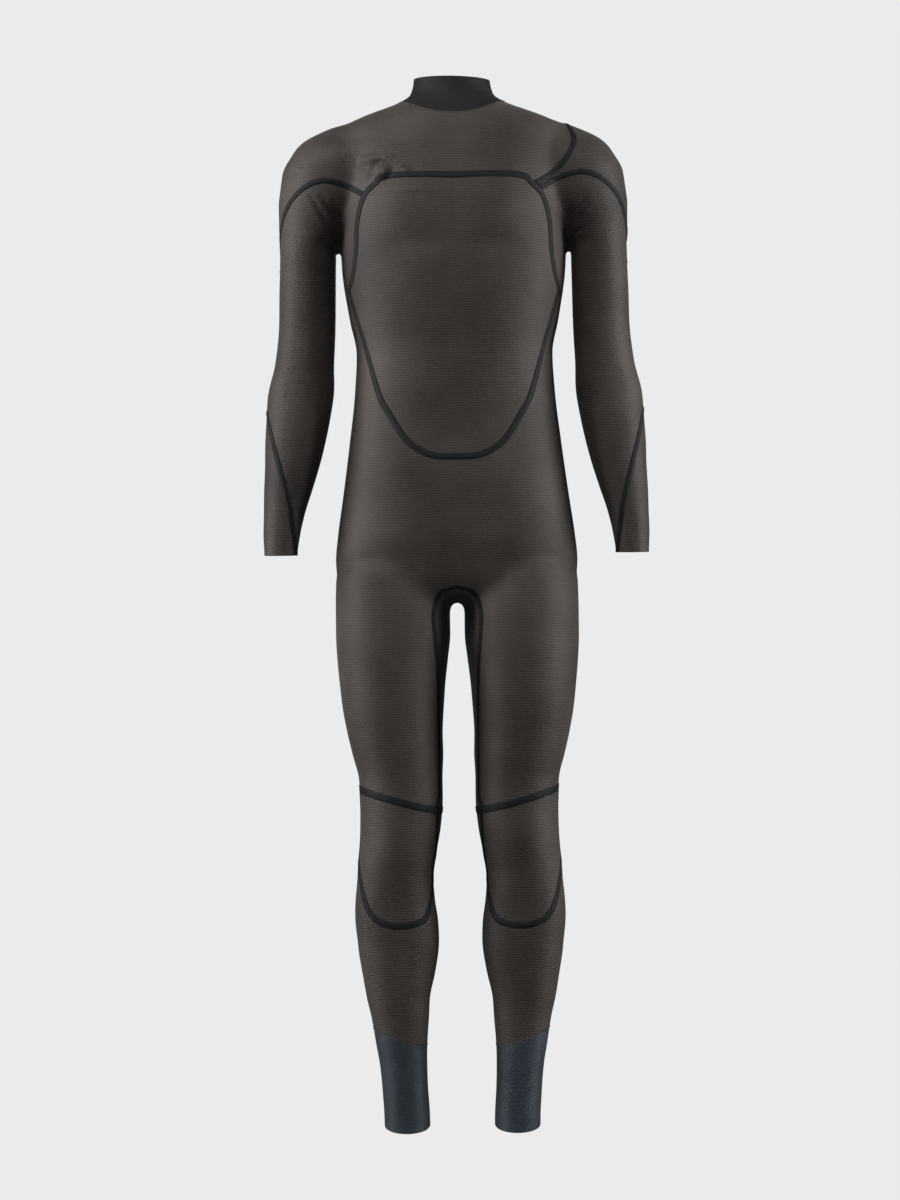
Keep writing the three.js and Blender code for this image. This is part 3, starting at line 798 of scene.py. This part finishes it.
def entry_region(p, n):
    """The entry seam over the left shoulder, negative within its tape."""
    near = (p[:, 1] < 20) & (p[:, 0] > 90)
    return np.where(near, on_cloth(p, n, entry_line(), False) - sleeve_tape_width / 2, 50.0)


# Half way between the torso and the sleeves: drop and X. Below the sleeves all is torso.
TORSO_REACH = [(0, 160), (190, 160), (290, 157), (400, 158), (520, 180), (620, 196), (640, 400)]


def torso_reach(z):
    drop, reach = zip(*TORSO_REACH)
    return np.interp(-z, drop, reach)


def collar_rim(p):
    across, along = collar_rim_slope
    return p[:, 2] - (collar_top - collar_rim_drop + along * p[:, 1] + across * p[:, 0])


def leg_hem(p):
    """The ankle hems dip towards the front."""
    return -ankle_hem + ankle_hem_slope * (p[:, 1] + ankle_hem_front) - p[:, 2]


def sleeve_hem(p):
    arm = (np.abs(p[:, 0]) > wrist_inside) & (p[:, 2] > -leg_top)
    return np.where(arm, -wrist_hem - p[:, 2], -50.0)


# ---------------------------------------------------------------- cutting the skin


class Skin:
    """The whole skin as triangles. Each cut puts a line of edges along a seam or a tape's edge."""

    def __init__(self, points, normals, faces):
        self.points, self.normals, self.faces = points, normals, faces

    def cut(self, value):
        value = np.where(np.abs(value) < 1e-3, 1e-3, value)
        over = value > 0
        count = over[self.faces].sum(1)
        mixed = (count == 1) | (count == 2)
        whole, torn = self.faces[~mixed], self.faces[mixed]
        if not len(torn):
            return
        sides = over[torn]
        lone = np.where(count[mixed] == 1, sides.argmax(1), (~sides).argmax(1))
        torn = np.take_along_axis(torn, (lone[:, None] + np.arange(3)) % 3, 1)
        a, b, c = torn.T
        one, other = np.concatenate([a, a]).astype(np.int64), np.concatenate([b, c])
        size = len(self.points)
        keys = np.minimum(one, other) * size + np.maximum(one, other)
        keys, place = np.unique(keys, return_inverse=True)
        i, j = keys // size, keys % size
        t = np.clip(value[i] / (value[i] - value[j]), 0.06, 0.94)[:, None]
        ab = len(self.points) + place[: len(torn)]
        ac = len(self.points) + place[len(torn) :]
        normals = self.normals[i] * (1 - t) + self.normals[j] * t
        normals /= np.linalg.norm(normals, axis=1, keepdims=True)
        self.points = np.vstack([self.points, self.points[i] * (1 - t) + self.points[j] * t])
        self.normals = np.vstack([self.normals, normals])
        self.faces = np.vstack(
            [whole, np.stack([a, ab, ac], 1), np.stack([ab, b, c], 1), np.stack([ab, c, ac], 1)]
        )

    def middles(self):
        p = self.points[self.faces].mean(1)
        n = self.normals[self.faces].mean(1)
        return p, n / np.linalg.norm(n, axis=1, keepdims=True)

    def seam(self, region, width=None):
        """Cuts along a region's seam, and along both edges of the tape over it."""
        self.cut(region(self.points, self.normals))
        if width:
            for edge in (-width / 2, width / 2):
                self.cut(region(self.points, self.normals) + edge)

    def keep(self, chosen):
        self.faces = self.faces[chosen]


# ---------------------------------------------------------------- materials


def linear(hex_colour):
    """An sRGB hex colour as linear red, green, blue and 1."""
    values = [int(hex_colour[i : i + 2], 16) / 255 for i in (0, 2, 4)]
    return [v / 12.92 if v <= 0.04045 else ((v + 0.055) / 1.055) ** 2.4 for v in values] + [1.0]


def add(tree, kind, links=None, values=None, **settings):
    """Adds one node, with its settings, its unlinked values and its links."""
    made = tree.nodes.new(kind)
    for key, value in settings.items():
        setattr(made, key, value)
    for key, value in (values or {}).items():
        made.inputs[key].default_value = value
    for key, source in (links or {}).items():
        tree.links.new(source, made.inputs[key])
    return made


def blank_material(name):
    material = bpy.data.materials.new(name)
    material.use_nodes = True
    material.node_tree.nodes.clear()
    return material


def ramp(tree, source, stops):
    made = add(tree, "ShaderNodeValToRGB", {"Fac": source})
    elements = made.color_ramp.elements
    while len(elements) < len(stops):
        elements.new(0.5)
    for element, (position, colour) in zip(elements, stops):
        element.position = position
        element.color = linear(colour)
    return made.outputs["Color"]


def knit(name, dark, light, rib, sheen, roughness, depth, shine=0.3, groove=False):
    """Jersey: fine courses across the piece, crossed by wales, over a slow change of shade."""
    material = blank_material(name)
    tree = material.node_tree
    place = add(tree, "ShaderNodeTexCoord").outputs["Object"]
    # the bands of a wave texture are 2 pi / 20 / scale apart
    scale = 2 * math.pi / 20 / (rib * METRE)
    courses = add(
        tree,
        "ShaderNodeTexWave",
        {"Vector": place},
        {"Scale": scale, "Distortion": 1.0, "Detail": 1.0, "Detail Scale": 0.2},
        wave_type="BANDS",
        bands_direction="Z",
    ).outputs["Fac"]
    # the wales lie closer together than the courses
    wales = add(
        tree,
        "ShaderNodeTexWave",
        {"Vector": place},
        {"Scale": scale * 1.6, "Distortion": 0.6, "Detail": 1.0, "Detail Scale": 0.2},
        wave_type="BANDS",
        bands_direction="X",
    ).outputs["Fac"]
    fuzz = add(tree, "ShaderNodeTexNoise", {"Vector": place}, {"Scale": 420.0, "Detail": 3.0}).outputs["Fac"]
    cloudy = add(tree, "ShaderNodeTexNoise", {"Vector": place}, {"Scale": 9.0, "Detail": 3.0}).outputs["Fac"]
    woven = add(tree, "ShaderNodeMath", {0: courses, 1: wales}, operation="MULTIPLY").outputs[0]
    grain = add(tree, "ShaderNodeMath", {0: courses, 1: woven}, operation="ADD").outputs[0]
    speckle = add(tree, "ShaderNodeMath", {0: fuzz}, {1: 3.4, 2: -1.2}, operation="MULTIPLY_ADD").outputs[0]
    grain = add(tree, "ShaderNodeMath", {0: grain, 1: speckle}, operation="ADD").outputs[0]
    shade = add(tree, "ShaderNodeMath", {0: grain, 2: cloudy}, {1: 0.17}, operation="MULTIPLY_ADD").outputs[0]
    # near a seam the bump dents a groove, and the colour is darkened there as painted shade in the groove
    if groove:
        away = add(tree, "ShaderNodeAttribute", attribute_name="seam_distance").outputs["Fac"]
        closed = add(
            tree,
            "ShaderNodeMapRange",
            {"Value": away},
            {"From Min": 0.3, "From Max": 1.8, "To Min": -0.9, "To Max": 0.0},
        ).outputs["Result"]
        shade = add(tree, "ShaderNodeMath", {0: shade, 1: closed}, operation="ADD").outputs[0]
        deep = add(tree, "ShaderNodeMath", {0: closed}, {1: 2.0}, operation="MULTIPLY").outputs[0]
        grain = add(tree, "ShaderNodeMath", {0: grain, 1: deep}, operation="ADD").outputs[0]
    colour = ramp(tree, shade, [(0.45, dark), (1.0, light)])
    height = add(tree, "ShaderNodeBump", {"Height": grain}, {"Strength": 1.0, "Distance": depth * METRE})
    shader = add(
        tree,
        "ShaderNodeBsdfPrincipled",
        {"Base Color": colour, "Normal": height.outputs["Normal"]},
        {
            "Roughness": roughness,
            "Sheen Weight": sheen,
            "Sheen Roughness": 0.4,
            "Sheen Tint": linear("c9c4bd"),
            "Specular IOR Level": shine,
        },
    )
    add(tree, "ShaderNodeOutputMaterial", {"Surface": shader.outputs["BSDF"]})
    return material


def make_materials():
    """Each cloth: name, dark and light shade, rib in mm, sheen, roughness, depth in mm, shine, and groove: a
    dent along each seam, with painted shade darkening the colour there.
    """
    return {
        # Nylon jersey laminated to foam: matt, with fine courses and a soft sheen at a glance.
        "jersey": knit("nylon_jersey_on_foam", "36312e", "564f4a", 3.6, 0.20, 0.58, 0.11, 0.35, True),
        # Close-knit jersey of the collar: darker and smoother.
        "collar": knit("close_knit_collar_jersey", "171514", "242120", 1.8, 0.08, 0.6, 0.12, 0.3, True),
        # Navy jersey of the ankle cuffs, smoother and a little shinier.
        "cuff": knit("navy_cuff_jersey", "29323a", "434f5a", 1.8, 0.15, 0.5, 0.12, 0.4, True),
        # Stretch tape glued over the seams: fine, dark and nearly plain.
        "tape": knit("glued_stretch_tape", "110f0f", "1d1b1a", 1.4, 0.08, 0.6, 0.1),
        # Black lining and the foam's cut edge.
        "foam": knit("black_lining_and_foam_edge", "0c0c0c", "181818", 2.0, 0.0, 0.85, 0.3),
        # Polyester sewing thread, paler than the cloth.
        "thread": knit("polyester_sewing_thread", "6a6661", "8d8881", 1.0, 0.1, 0.6, 0.05),
        # Woven polyester zip tape.
        "zip_cloth": knit("woven_zip_tape", "141414", "242424", 1.2, 0.1, 0.8, 0.2),
        # Moulded acetal of the zip's teeth, stops, slider and puller.
        "zip_plastic": knit("moulded_acetal", "111112", "1d1d1e", 3.0, 0.0, 0.38, 0.02),
    }


# ---------------------------------------------------------------- pieces


def shell_piece(name, skin_mesh, faces, outside, inside, materials, seam=None):
    """A closed solid between two offsets of some of the skin's triangles."""
    used, flat = np.unique(faces, return_inverse=True)
    flat = flat.reshape(-1, 3)
    points, normals = skin_mesh.points[used], skin_mesh.normals[used]
    outer = points + normals * (outside[used][:, None] if isinstance(outside, np.ndarray) else outside)
    inner = points + normals * inside
    pairs = np.concatenate([flat[:, [0, 1]], flat[:, [1, 2]], flat[:, [2, 0]]])
    key = pairs[:, 0].astype(np.int64) * len(used) + pairs[:, 1]
    back = pairs[:, 1].astype(np.int64) * len(used) + pairs[:, 0]
    rim = pairs[~np.isin(key, back)]
    a, b = rim.T
    shift = len(used)
    walls = np.vstack([np.stack([b, a, a + shift], 1), np.stack([b, a + shift, b + shift], 1)])
    tris = np.vstack([flat, flat[:, ::-1] + shift, walls])
    mesh = new_mesh(name, np.vstack([outer, inner]) * METRE, tris)
    for material in materials:
        mesh.materials.append(material)
    which = np.zeros(len(tris), np.int32)
    if len(materials) > 1:
        which[len(flat) :] = 1
    mesh.polygons.foreach_set("material_index", which)
    mesh.polygons.foreach_set("use_smooth", np.ones(len(tris), bool))
    corner = np.vstack([outer, inner])[tris]
    wall_normals = np.cross(corner[:, 1] - corner[:, 0], corner[:, 2] - corner[:, 0])
    wall_normals /= np.maximum(np.linalg.norm(wall_normals, axis=1, keepdims=True), 1e-12)
    loops = np.repeat(wall_normals[:, None, :], 3, 1)
    loops[: len(flat)] = normals[flat]
    loops[len(flat) : 2 * len(flat)] = -normals[flat[:, ::-1]]
    if seam is not None:
        mesh.normals_split_custom_set(loops.reshape(-1, 3).tolist())
        nearness = mesh.attributes.new("seam_distance", "FLOAT", "POINT")
        nearness.data.foreach_set("value", np.tile(seam[used], 2).astype(np.float32))
    thing = bpy.data.objects.new(name, mesh)
    bpy.context.scene.collection.objects.link(thing)
    return thing


def bend_or_ride(piece, bend):
    """Attaches a piece to the torso; one at an elbow or a knee only has its transform baked into its mesh,
    and is left unattached.
    """
    if bend is None:
        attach(piece, "suit")
        return
    kind, side = bend
    x, y, top, foot = elbow_bend if kind == "elbow" else knee_bend
    start, end = ((side * x * METRE, y * METRE, z * METRE) for z in (top, foot))
    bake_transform(piece)
    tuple(start)
    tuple(end)


# ---------------------------------------------------------------- the suit and its panels

# Each seam's region, and the width of the tape over it.
SEAMS = {
    "collar": (collar_region, None),
    "chest": (chest_region, chest_tape_width),
    "back": (back_region, chest_tape_width),
    "gusset": (gusset_region, crotch_tape_width),
    "seat": (seat_region, None),
    "underarm_right": (underarm_region(-1), sleeve_tape_width),
    "underarm_left": (underarm_region(1), sleeve_tape_width),
    "pad_right": (pad_region(-1), pad_tape_width),
    "pad_left": (pad_region(1), pad_tape_width),
    "cuff": (cuff_region, None),
    "knee": (knee_line, knee_tape_width),
    "sleeve": (sleeve_region, None),
}


def make_suit():
    """The skin cut open at its ends and along its seams, its triangles' middles, and its regions."""
    body = Skin(*skin())
    for end in (collar_rim, leg_hem, sleeve_hem):
        body.cut(end(body.points))
        body.keep(end(body.middles()[0]) < 0)
    for region, width in SEAMS.values():
        body.seam(region, width)
    body.seam(entry_region)
    regions = {name: region for name, (region, _) in SEAMS.items()}
    regions["entry"] = entry_region
    p, n = body.middles()
    at_middles = {name: region(p, n) for name, region in regions.items()}
    at_points = {name: region(body.points, body.normals) for name, region in regions.items()}
    return body, p, at_middles, at_points


def labels(p, value):
    """Which panel each triangle belongs to: the first region that holds it."""
    left, right = p[:, 0] > 0, p[:, 0] <= 0
    leg = p[:, 2] < -leg_top
    below_knee = leg & (value["knee"] > 0)
    torso = np.abs(p[:, 0]) < torso_reach(p[:, 2])
    order = [
        ("collar", value["collar"] < 0),
        ("chest_panel", value["chest"] < 0),
        ("back_panel", value["back"] < 0),
        ("ankle_cuff_right", leg & right & (value["cuff"] < 0)),
        ("ankle_cuff_left", leg & left & (value["cuff"] < 0)),
        ("knee_pad_right", value["pad_right"] < 0),
        ("knee_pad_left", value["pad_left"] < 0),
        ("calf_panel_right", below_knee & right),
        ("calf_panel_left", below_knee & left),
        ("crotch_gusset", value["gusset"] < 0),
        ("seat_panel", torso & (value["seat"] < 0)),
        ("sleeve_front_right", value["underarm_right"] < 0),
        ("sleeve_front_left", value["underarm_left"] < 0),
        ("lower_body", torso & (p[:, 2] < -chest_cusp + seam_overlap)),
        ("sleeve_outer_right", p[:, 0] < -sleeve_start),
        ("sleeve_outer_left", p[:, 0] > sleeve_start),
        ("yoke", np.ones(len(p), bool)),
    ]
    which = np.full(len(p), -1)
    for i, (_, inside) in enumerate(order):
        which[(which < 0) & inside] = i
    return [name for name, _ in order], which


def without_splits(names, which):
    """The same labels, with each sleeve's outside and the yoke as the one panel that they are."""
    yoke = names.index("yoke")
    parts = [names.index(f"sleeve_outer_{word}") for _, word in SIDES]
    return np.where(np.isin(which, parts), yoke, which)


def seam_distance(body, which):
    """How far each point lies from the nearest edge between two panels, up to 12 mm."""
    pairs = np.concatenate([body.faces[:, [0, 1]], body.faces[:, [1, 2]], body.faces[:, [2, 0]]])
    label = np.tile(which, 3)
    low, high = pairs.min(1).astype(np.int64), pairs.max(1).astype(np.int64)
    key = low * len(body.points) + high
    order = np.argsort(key, kind="stable")
    key, label = key[order], label[order]
    across = (key[1:] == key[:-1]) & (label[1:] != label[:-1])
    on_seam = np.zeros(len(body.points), bool)
    on_seam[low[order][:-1][across]] = True
    on_seam[high[order][:-1][across]] = True
    away = np.where(on_seam, 0.0, 12.0)
    edges = edges_of(body.faces)
    length = np.linalg.norm(body.points[edges[:, 0]] - body.points[edges[:, 1]], axis=1)
    for _ in range(6):
        for a, b in ((0, 1), (1, 0)):
            np.minimum.at(away, edges[:, a], away[edges[:, b]] + length)
    return away


# ---------------------------------------------------------------- stitches

# Stitches, in metres: from one to the next, thread radius, length, and lean against the seam.
STITCHES = {"Spacing": 0.0032, "Thread": 0.00035, "Stitch": 0.003, "Slant": 0.45}
stitch_lift = 0.1


def seam_edges(faces, which, first, second):
    """The edges between two panels."""
    side = np.zeros(len(faces), int)
    side[which == first] = 1
    side[which == second] = 2
    pairs = np.concatenate([faces[:, [0, 1]], faces[:, [1, 2]], faces[:, [2, 0]]])
    label = np.tile(side, 3)
    low, high = pairs.min(1).astype(np.int64), pairs.max(1).astype(np.int64)
    key = low * (faces.max() + 1) + high
    order = np.argsort(key, kind="stable")
    key, label, pairs = key[order], label[order], np.stack([low, high], 1)[order]
    same = key[1:] == key[:-1]
    across = same & (label[1:] * label[:-1] == 2)
    return pairs[:-1][across]


def stitch_tree():
    """Lays one short thread after another along a line, each turned a little to the line."""
    tree = bpy.data.node_groups.new("row_of_stitches", "GeometryNodeTree")
    face = tree.interface
    face.new_socket("Geometry", in_out="INPUT", socket_type="NodeSocketGeometry")
    for name, value in STITCHES.items():
        face.new_socket(name, in_out="INPUT", socket_type="NodeSocketFloat").default_value = value
    face.new_socket("Material", in_out="INPUT", socket_type="NodeSocketMaterial")
    face.new_socket("Geometry", in_out="OUTPUT", socket_type="NodeSocketGeometry")
    given = add(tree, "NodeGroupInput").outputs
    line = add(tree, "GeometryNodeMeshToCurve", {"Mesh": given["Geometry"]}).outputs[0]
    even = add(tree, "GeometryNodeResampleCurve", {"Curve": line, "Length": given["Spacing"]}, mode="LENGTH")
    thread = add(
        tree,
        "GeometryNodeMeshUVSphere",
        {"Radius": given["Thread"]},
        {"Segments": 8, "Rings": 6},
    ).outputs["Mesh"]
    ratio = add(tree, "ShaderNodeMath", {0: given["Stitch"], 1: given["Thread"]}, operation="DIVIDE")
    long = ratio.outputs[0]
    half = add(tree, "ShaderNodeMath", {0: long}, {1: 0.5}, operation="MULTIPLY").outputs[0]
    size = add(tree, "ShaderNodeCombineXYZ", {"Z": half}, {"X": 1.0, "Y": 1.0}).outputs[0]
    thread = add(tree, "GeometryNodeTransform", {"Geometry": thread, "Scale": size}).outputs[0]
    tangent = add(tree, "GeometryNodeInputTangent").outputs[0]
    lean = add(tree, "ShaderNodeCombineXYZ", {"X": given["Slant"], "Z": given["Slant"]}).outputs[0]
    aim = add(tree, "ShaderNodeVectorMath", {0: tangent, 1: lean}, operation="ADD").outputs[0]
    turn = add(tree, "FunctionNodeAlignRotationToVector", {"Vector": aim}, axis="Z").outputs[0]
    laid = add(
        tree,
        "GeometryNodeInstanceOnPoints",
        {"Points": even.outputs[0], "Instance": thread, "Rotation": turn},
    ).outputs[0]
    made = add(tree, "GeometryNodeRealizeInstances", {"Geometry": laid}).outputs[0]
    made = add(tree, "GeometryNodeSetMaterial", {"Geometry": made, "Material": given["Material"]}).outputs[0]
    add(tree, "NodeGroupOutput", {"Geometry": made})
    return tree


def stitch_row(name, body, edges, tree, material):
    """A row of stitches along seam edges, a little off the cloth."""
    used, flat = np.unique(edges, return_inverse=True)
    points = (body.points[used] + body.normals[used] * stitch_lift) * METRE
    line = bpy.data.meshes.new(name)
    line.from_pydata(points.tolist(), flat.reshape(-1, 2).tolist(), [])
    thing = bpy.data.objects.new(name, line)
    bpy.context.scene.collection.objects.link(thing)
    change = thing.modifiers.new("stitches", "NODES")
    change.node_group = tree
    settings = {**STITCHES, "Material": material}
    for item in tree.interface.items_tree:
        if item.in_out == "INPUT" and item.name in settings:
            change[item.identifier] = settings[item.name]
    deps = bpy.context.evaluated_depsgraph_get()
    deps.update()
    made = bpy.data.meshes.new_from_object(thing.evaluated_get(deps))
    thing.modifiers.clear()
    thing.data = made
    thing.data.name = name
    for polygon in thing.data.polygons:
        polygon.use_smooth = True
    return thing


def add_stitches(body, names, which, mat):
    """The pale stitches that show at the collar's foot and at the top of each ankle cuff."""
    tree = stitch_tree()
    rows = [("collar_stitches", "collar", "yoke", "suit")]
    for _, word in SIDES:
        cuff, calf = f"ankle_cuff_{word}", f"calf_panel_{word}"
        rows.append((f"cuff_stitches_{word}", cuff, calf, f"lower_leg_{word}"))
    for name, first, second, ridden in rows:
        edges = seam_edges(body.faces, which, names.index(first), names.index(second))
        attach(stitch_row(name, body, edges, tree, mat["thread"]), ridden)


# ---------------------------------------------------------------- panels and tapes


def cloth_size(faces, points):
    """The flat area of some triangles, and a rectangle about that large with the piece's own length."""
    a, b, c = (points[faces[:, i]] for i in range(3))
    area = np.linalg.norm(np.cross(b - a, c - a), axis=1).sum() / 2 * METRE**2
    tall = np.ptp(points[np.unique(faces)][:, 2]) * METRE
    slack = 1.03  # a panel follows the body's curves, so it is longer than it stands
    filled = 0.82  # the share of the rectangle that the panel fills
    least = math.sqrt(area / 0.8) * 0.5  # for a panel that lies nearly level
    length = max(tall * slack, least)
    return area, (area / filled / length, length)


def add_panels(body, names, which, seam, mat):
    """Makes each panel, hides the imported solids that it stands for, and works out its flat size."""
    for i, name in enumerate(names):
        faces = body.faces[which == i]
        kind, _, side_word = name.rpartition("_")
        side = {"right": -1, "left": 1}.get(side_word)
        look, slot = mat["jersey"], "jersey_neoprene"
        if name == "collar":
            look, slot = mat["collar"], "collar_neoprene"
        if kind == "ankle_cuff":
            look, slot = mat["cuff"], "cuff_neoprene"
        piece = shell_piece(name + "_cloth", body, faces, 0.0, -neoprene, [look, mat["foam"]], seam)
        if kind == "sleeve_front":
            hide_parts(f"underarm_panel_{side_word}", f"forearm_front_{side_word}")
            bend_or_ride(piece, ("elbow", side))
        elif kind == "sleeve_outer":
            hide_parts(f"outer_sleeve_{side_word}", f"forearm_outer_{side_word}")
            bend_or_ride(piece, ("elbow", side))
        elif kind in ("knee_pad", "calf_panel"):
            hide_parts(name)
            bend_or_ride(piece, ("knee", side))
        elif kind == "ankle_cuff":
            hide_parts(name)
            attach(piece, f"lower_leg_{side_word}")
        else:
            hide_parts(name)
            bend_or_ride(piece, None)
        area, flat = cloth_size(faces, body.points)


def tape_profile(distance_from_middle, width):
    """The tape's height: thin at its edges and full from 1.2 mm inside them."""
    edge, bevel = 0.12, 1.2
    share = np.clip(np.abs(distance_from_middle) / (width / 2), 0, 1)
    return edge + (tape_thickness - edge) * np.clip((1 - share) * width / 2 / bevel, 0, 1) ** 0.6


def add_tapes(body, p, value, at_points, mat):
    """Tapes over the seams. Where two meet, the one listed first runs through."""
    used = np.zeros(len(p), bool)
    front, back = p[:, 1] < side_seam, p[:, 1] > side_seam
    bands = [
        ("chest_tape", "chest", chest_tape_width, front, None, ["chest_tape"]),
        ("entry_tape", "entry", sleeve_tape_width, front & (value["chest"] > 0), None, ["entry_tape"]),
        ("back_tape", "back", chest_tape_width, back, None, ["back_tape"]),
    ]
    for side, word in SIDES:
        mine = p[:, 0] * side > 0
        flank = (np.abs(p[:, 0]) < flank_tape_reach) & (p[:, 2] < -flank_tape_top)
        inner_arm = (p[:, 1] > inner_arm_back) & (np.abs(p[:, 0]) < inner_arm_reach)
        sleeve = mine & ~flank & ~inner_arm & (value["chest"] > 0)
        pad = mine & (value["knee"] > knee_tape_gap)
        both = [f"underarm_tape_{word}", f"forearm_tape_{word}"]
        top, foot = f"knee_top_tape_{word}", f"knee_pad_tape_{word}"
        elbow, knee = ("elbow", side), ("knee", side)
        bands += [
            (top, "knee", knee_tape_width, mine, None, [top]),
            (f"sleeve_tape_{word}", f"underarm_{word}", sleeve_tape_width, sleeve, elbow, both),
            (foot, f"pad_{word}", pad_tape_width, pad, knee, [foot]),
        ]
    above = value["knee"] < -knee_tape_gap
    bands.append(("crotch_tape", "gusset", crotch_tape_width, (p[:, 1] < 0) & above, None, ["crotch_tape"]))
    bands.append(("seat_tape", "gusset", crotch_tape_width, (p[:, 1] >= 0) & above, None, ["seat_tape"]))
    for name, region, width, where, bend, replaced in bands:
        # the entry's region is already measured from the tape's edge
        shift = width / 2 if region == "entry" else 0.0
        inside = value[region] < 0 if region == "entry" else np.abs(value[region]) < width / 2
        chosen = inside & where & ~used
        used |= chosen
        height = tape_profile(at_points[region] + shift, width)
        title = name.replace("tape", "seam_tape")
        piece = shell_piece(title, body, body.faces[chosen], height, -0.05, [mat["tape"]])
        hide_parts(*replaced)
        bend_or_ride(piece, bend)


def paint_zip(mat):
    """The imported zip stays, with its own materials."""
    for name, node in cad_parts.items():
        look = mat["zip_cloth"] if name.startswith("zip_tape") else mat["zip_plastic"]
        if name.startswith("zip_"):
            node.data.materials.clear()
            node.data.materials.append(look)


# ---------------------------------------------------------------- stage, in metres

floor_level, wall_radius, wall_height, wall_bend = -1.47, 11.0, 9.0, 1.5
BEND_STEPS, WALL_SIDES = 12, 64
aim_level = -0.7

# Each light: name, place, breadth and height, power in watts.
LIGHTS = [
    ("side_light_left", (-2.3, -0.45, -0.2), (0.9, 2.8), 52),
    ("side_light_right", (2.3, -0.45, -0.2), (0.9, 2.8), 52),
    ("front_fill", (-0.3, -4.2, 0.1), (1.4, 1.4), 14),
    ("top_light", (-0.9, -1.2, 2.0), (1.4, 1.0), 28),
    ("back_light", (0.3, 4.2, 0.8), (1.4, 1.4), 45),
]


def backdrop_mesh():
    """A round floor that curves up all round into a wall."""
    profile = [(0.5, floor_level)]
    for i in range(BEND_STEPS + 1):
        turn = math.pi / 2 * i / BEND_STEPS
        radius = wall_radius - wall_bend + wall_bend * math.sin(turn)
        profile.append((radius, floor_level + wall_bend - wall_bend * math.cos(turn)))
    profile.append((wall_radius, wall_height))
    points = [(0.0, 0.0, floor_level)]
    for radius, z in profile:
        for k in range(WALL_SIDES):
            turn = 2 * math.pi * k / WALL_SIDES
            points.append((radius * math.cos(turn), radius * math.sin(turn), z))
    faces = [(0, 1 + k, 1 + (k + 1) % WALL_SIDES) for k in range(WALL_SIDES)]
    for i in range(len(profile) - 1):
        low, high = 1 + i * WALL_SIDES, 1 + (i + 1) * WALL_SIDES
        for k in range(WALL_SIDES):
            after = (k + 1) % WALL_SIDES
            faces.append((low + k, high + k, high + after, low + after))
    data = bpy.data.meshes.new("backdrop")
    data.from_pydata(points, [], faces)
    for polygon in data.polygons:
        polygon.use_smooth = True
    return data


def make_backdrop():
    """The pale paper. It shows to the camera, and neither lights the suit nor shades it."""
    backdrop = bpy.data.objects.new("backdrop", backdrop_mesh())
    bpy.context.scene.collection.objects.link(backdrop)
    paper = blank_material("pale_paper_backdrop")
    tree = paper.node_tree
    glow = add(tree, "ShaderNodeEmission", {}, {"Color": linear("ebebeb"), "Strength": 1.0})
    add(tree, "ShaderNodeOutputMaterial", {"Surface": glow.outputs["Emission"]})
    backdrop.data.materials.append(paper)
    backdrop.visible_diffuse = False
    backdrop.visible_glossy = False
    backdrop.visible_shadow = False
    return backdrop


def make_lights():
    """Two tall soft lights at the sides, and weaker ones in front, above and behind."""
    lamps = []
    for name, place, size, power in LIGHTS:
        data = bpy.data.lights.new(name, "AREA")
        data.shape = "RECTANGLE"
        data.size, data.size_y = size
        data.energy = power
        lamp = bpy.data.objects.new(name, data)
        lamp.location = place
        lamp.visible_camera = False
        aim = Vector((0, 0, aim_level)) - Vector(place)
        lamp.rotation_euler = aim.to_track_quat("-Z", "Y").to_euler()
        bpy.context.scene.collection.objects.link(lamp)
        lamps.append(lamp)
    return lamps


def add_stage():
    """The backdrop and the lights, in a dim white room."""
    things = [make_backdrop()] + make_lights()
    world = bpy.data.worlds.new("studio")
    world.use_nodes = True
    background = world.node_tree.nodes["Background"]
    background.inputs["Color"].default_value = linear("ffffff")
    background.inputs["Strength"].default_value = 0.05
    bpy.context.scene.world = world
    bpy.context.scene.view_settings.view_transform = "Standard"


# ---------------------------------------------------------------- the whole suit

add_camera()
mat = make_materials()
body, p, value, at_points = make_suit()
names, which = labels(p, value)
seam = seam_distance(body, without_splits(names, which))
add_panels(body, names, which, seam, mat)
add_tapes(body, p, value, at_points, mat)
add_stitches(body, names, which, mat)
paint_zip(mat)
add_stage()
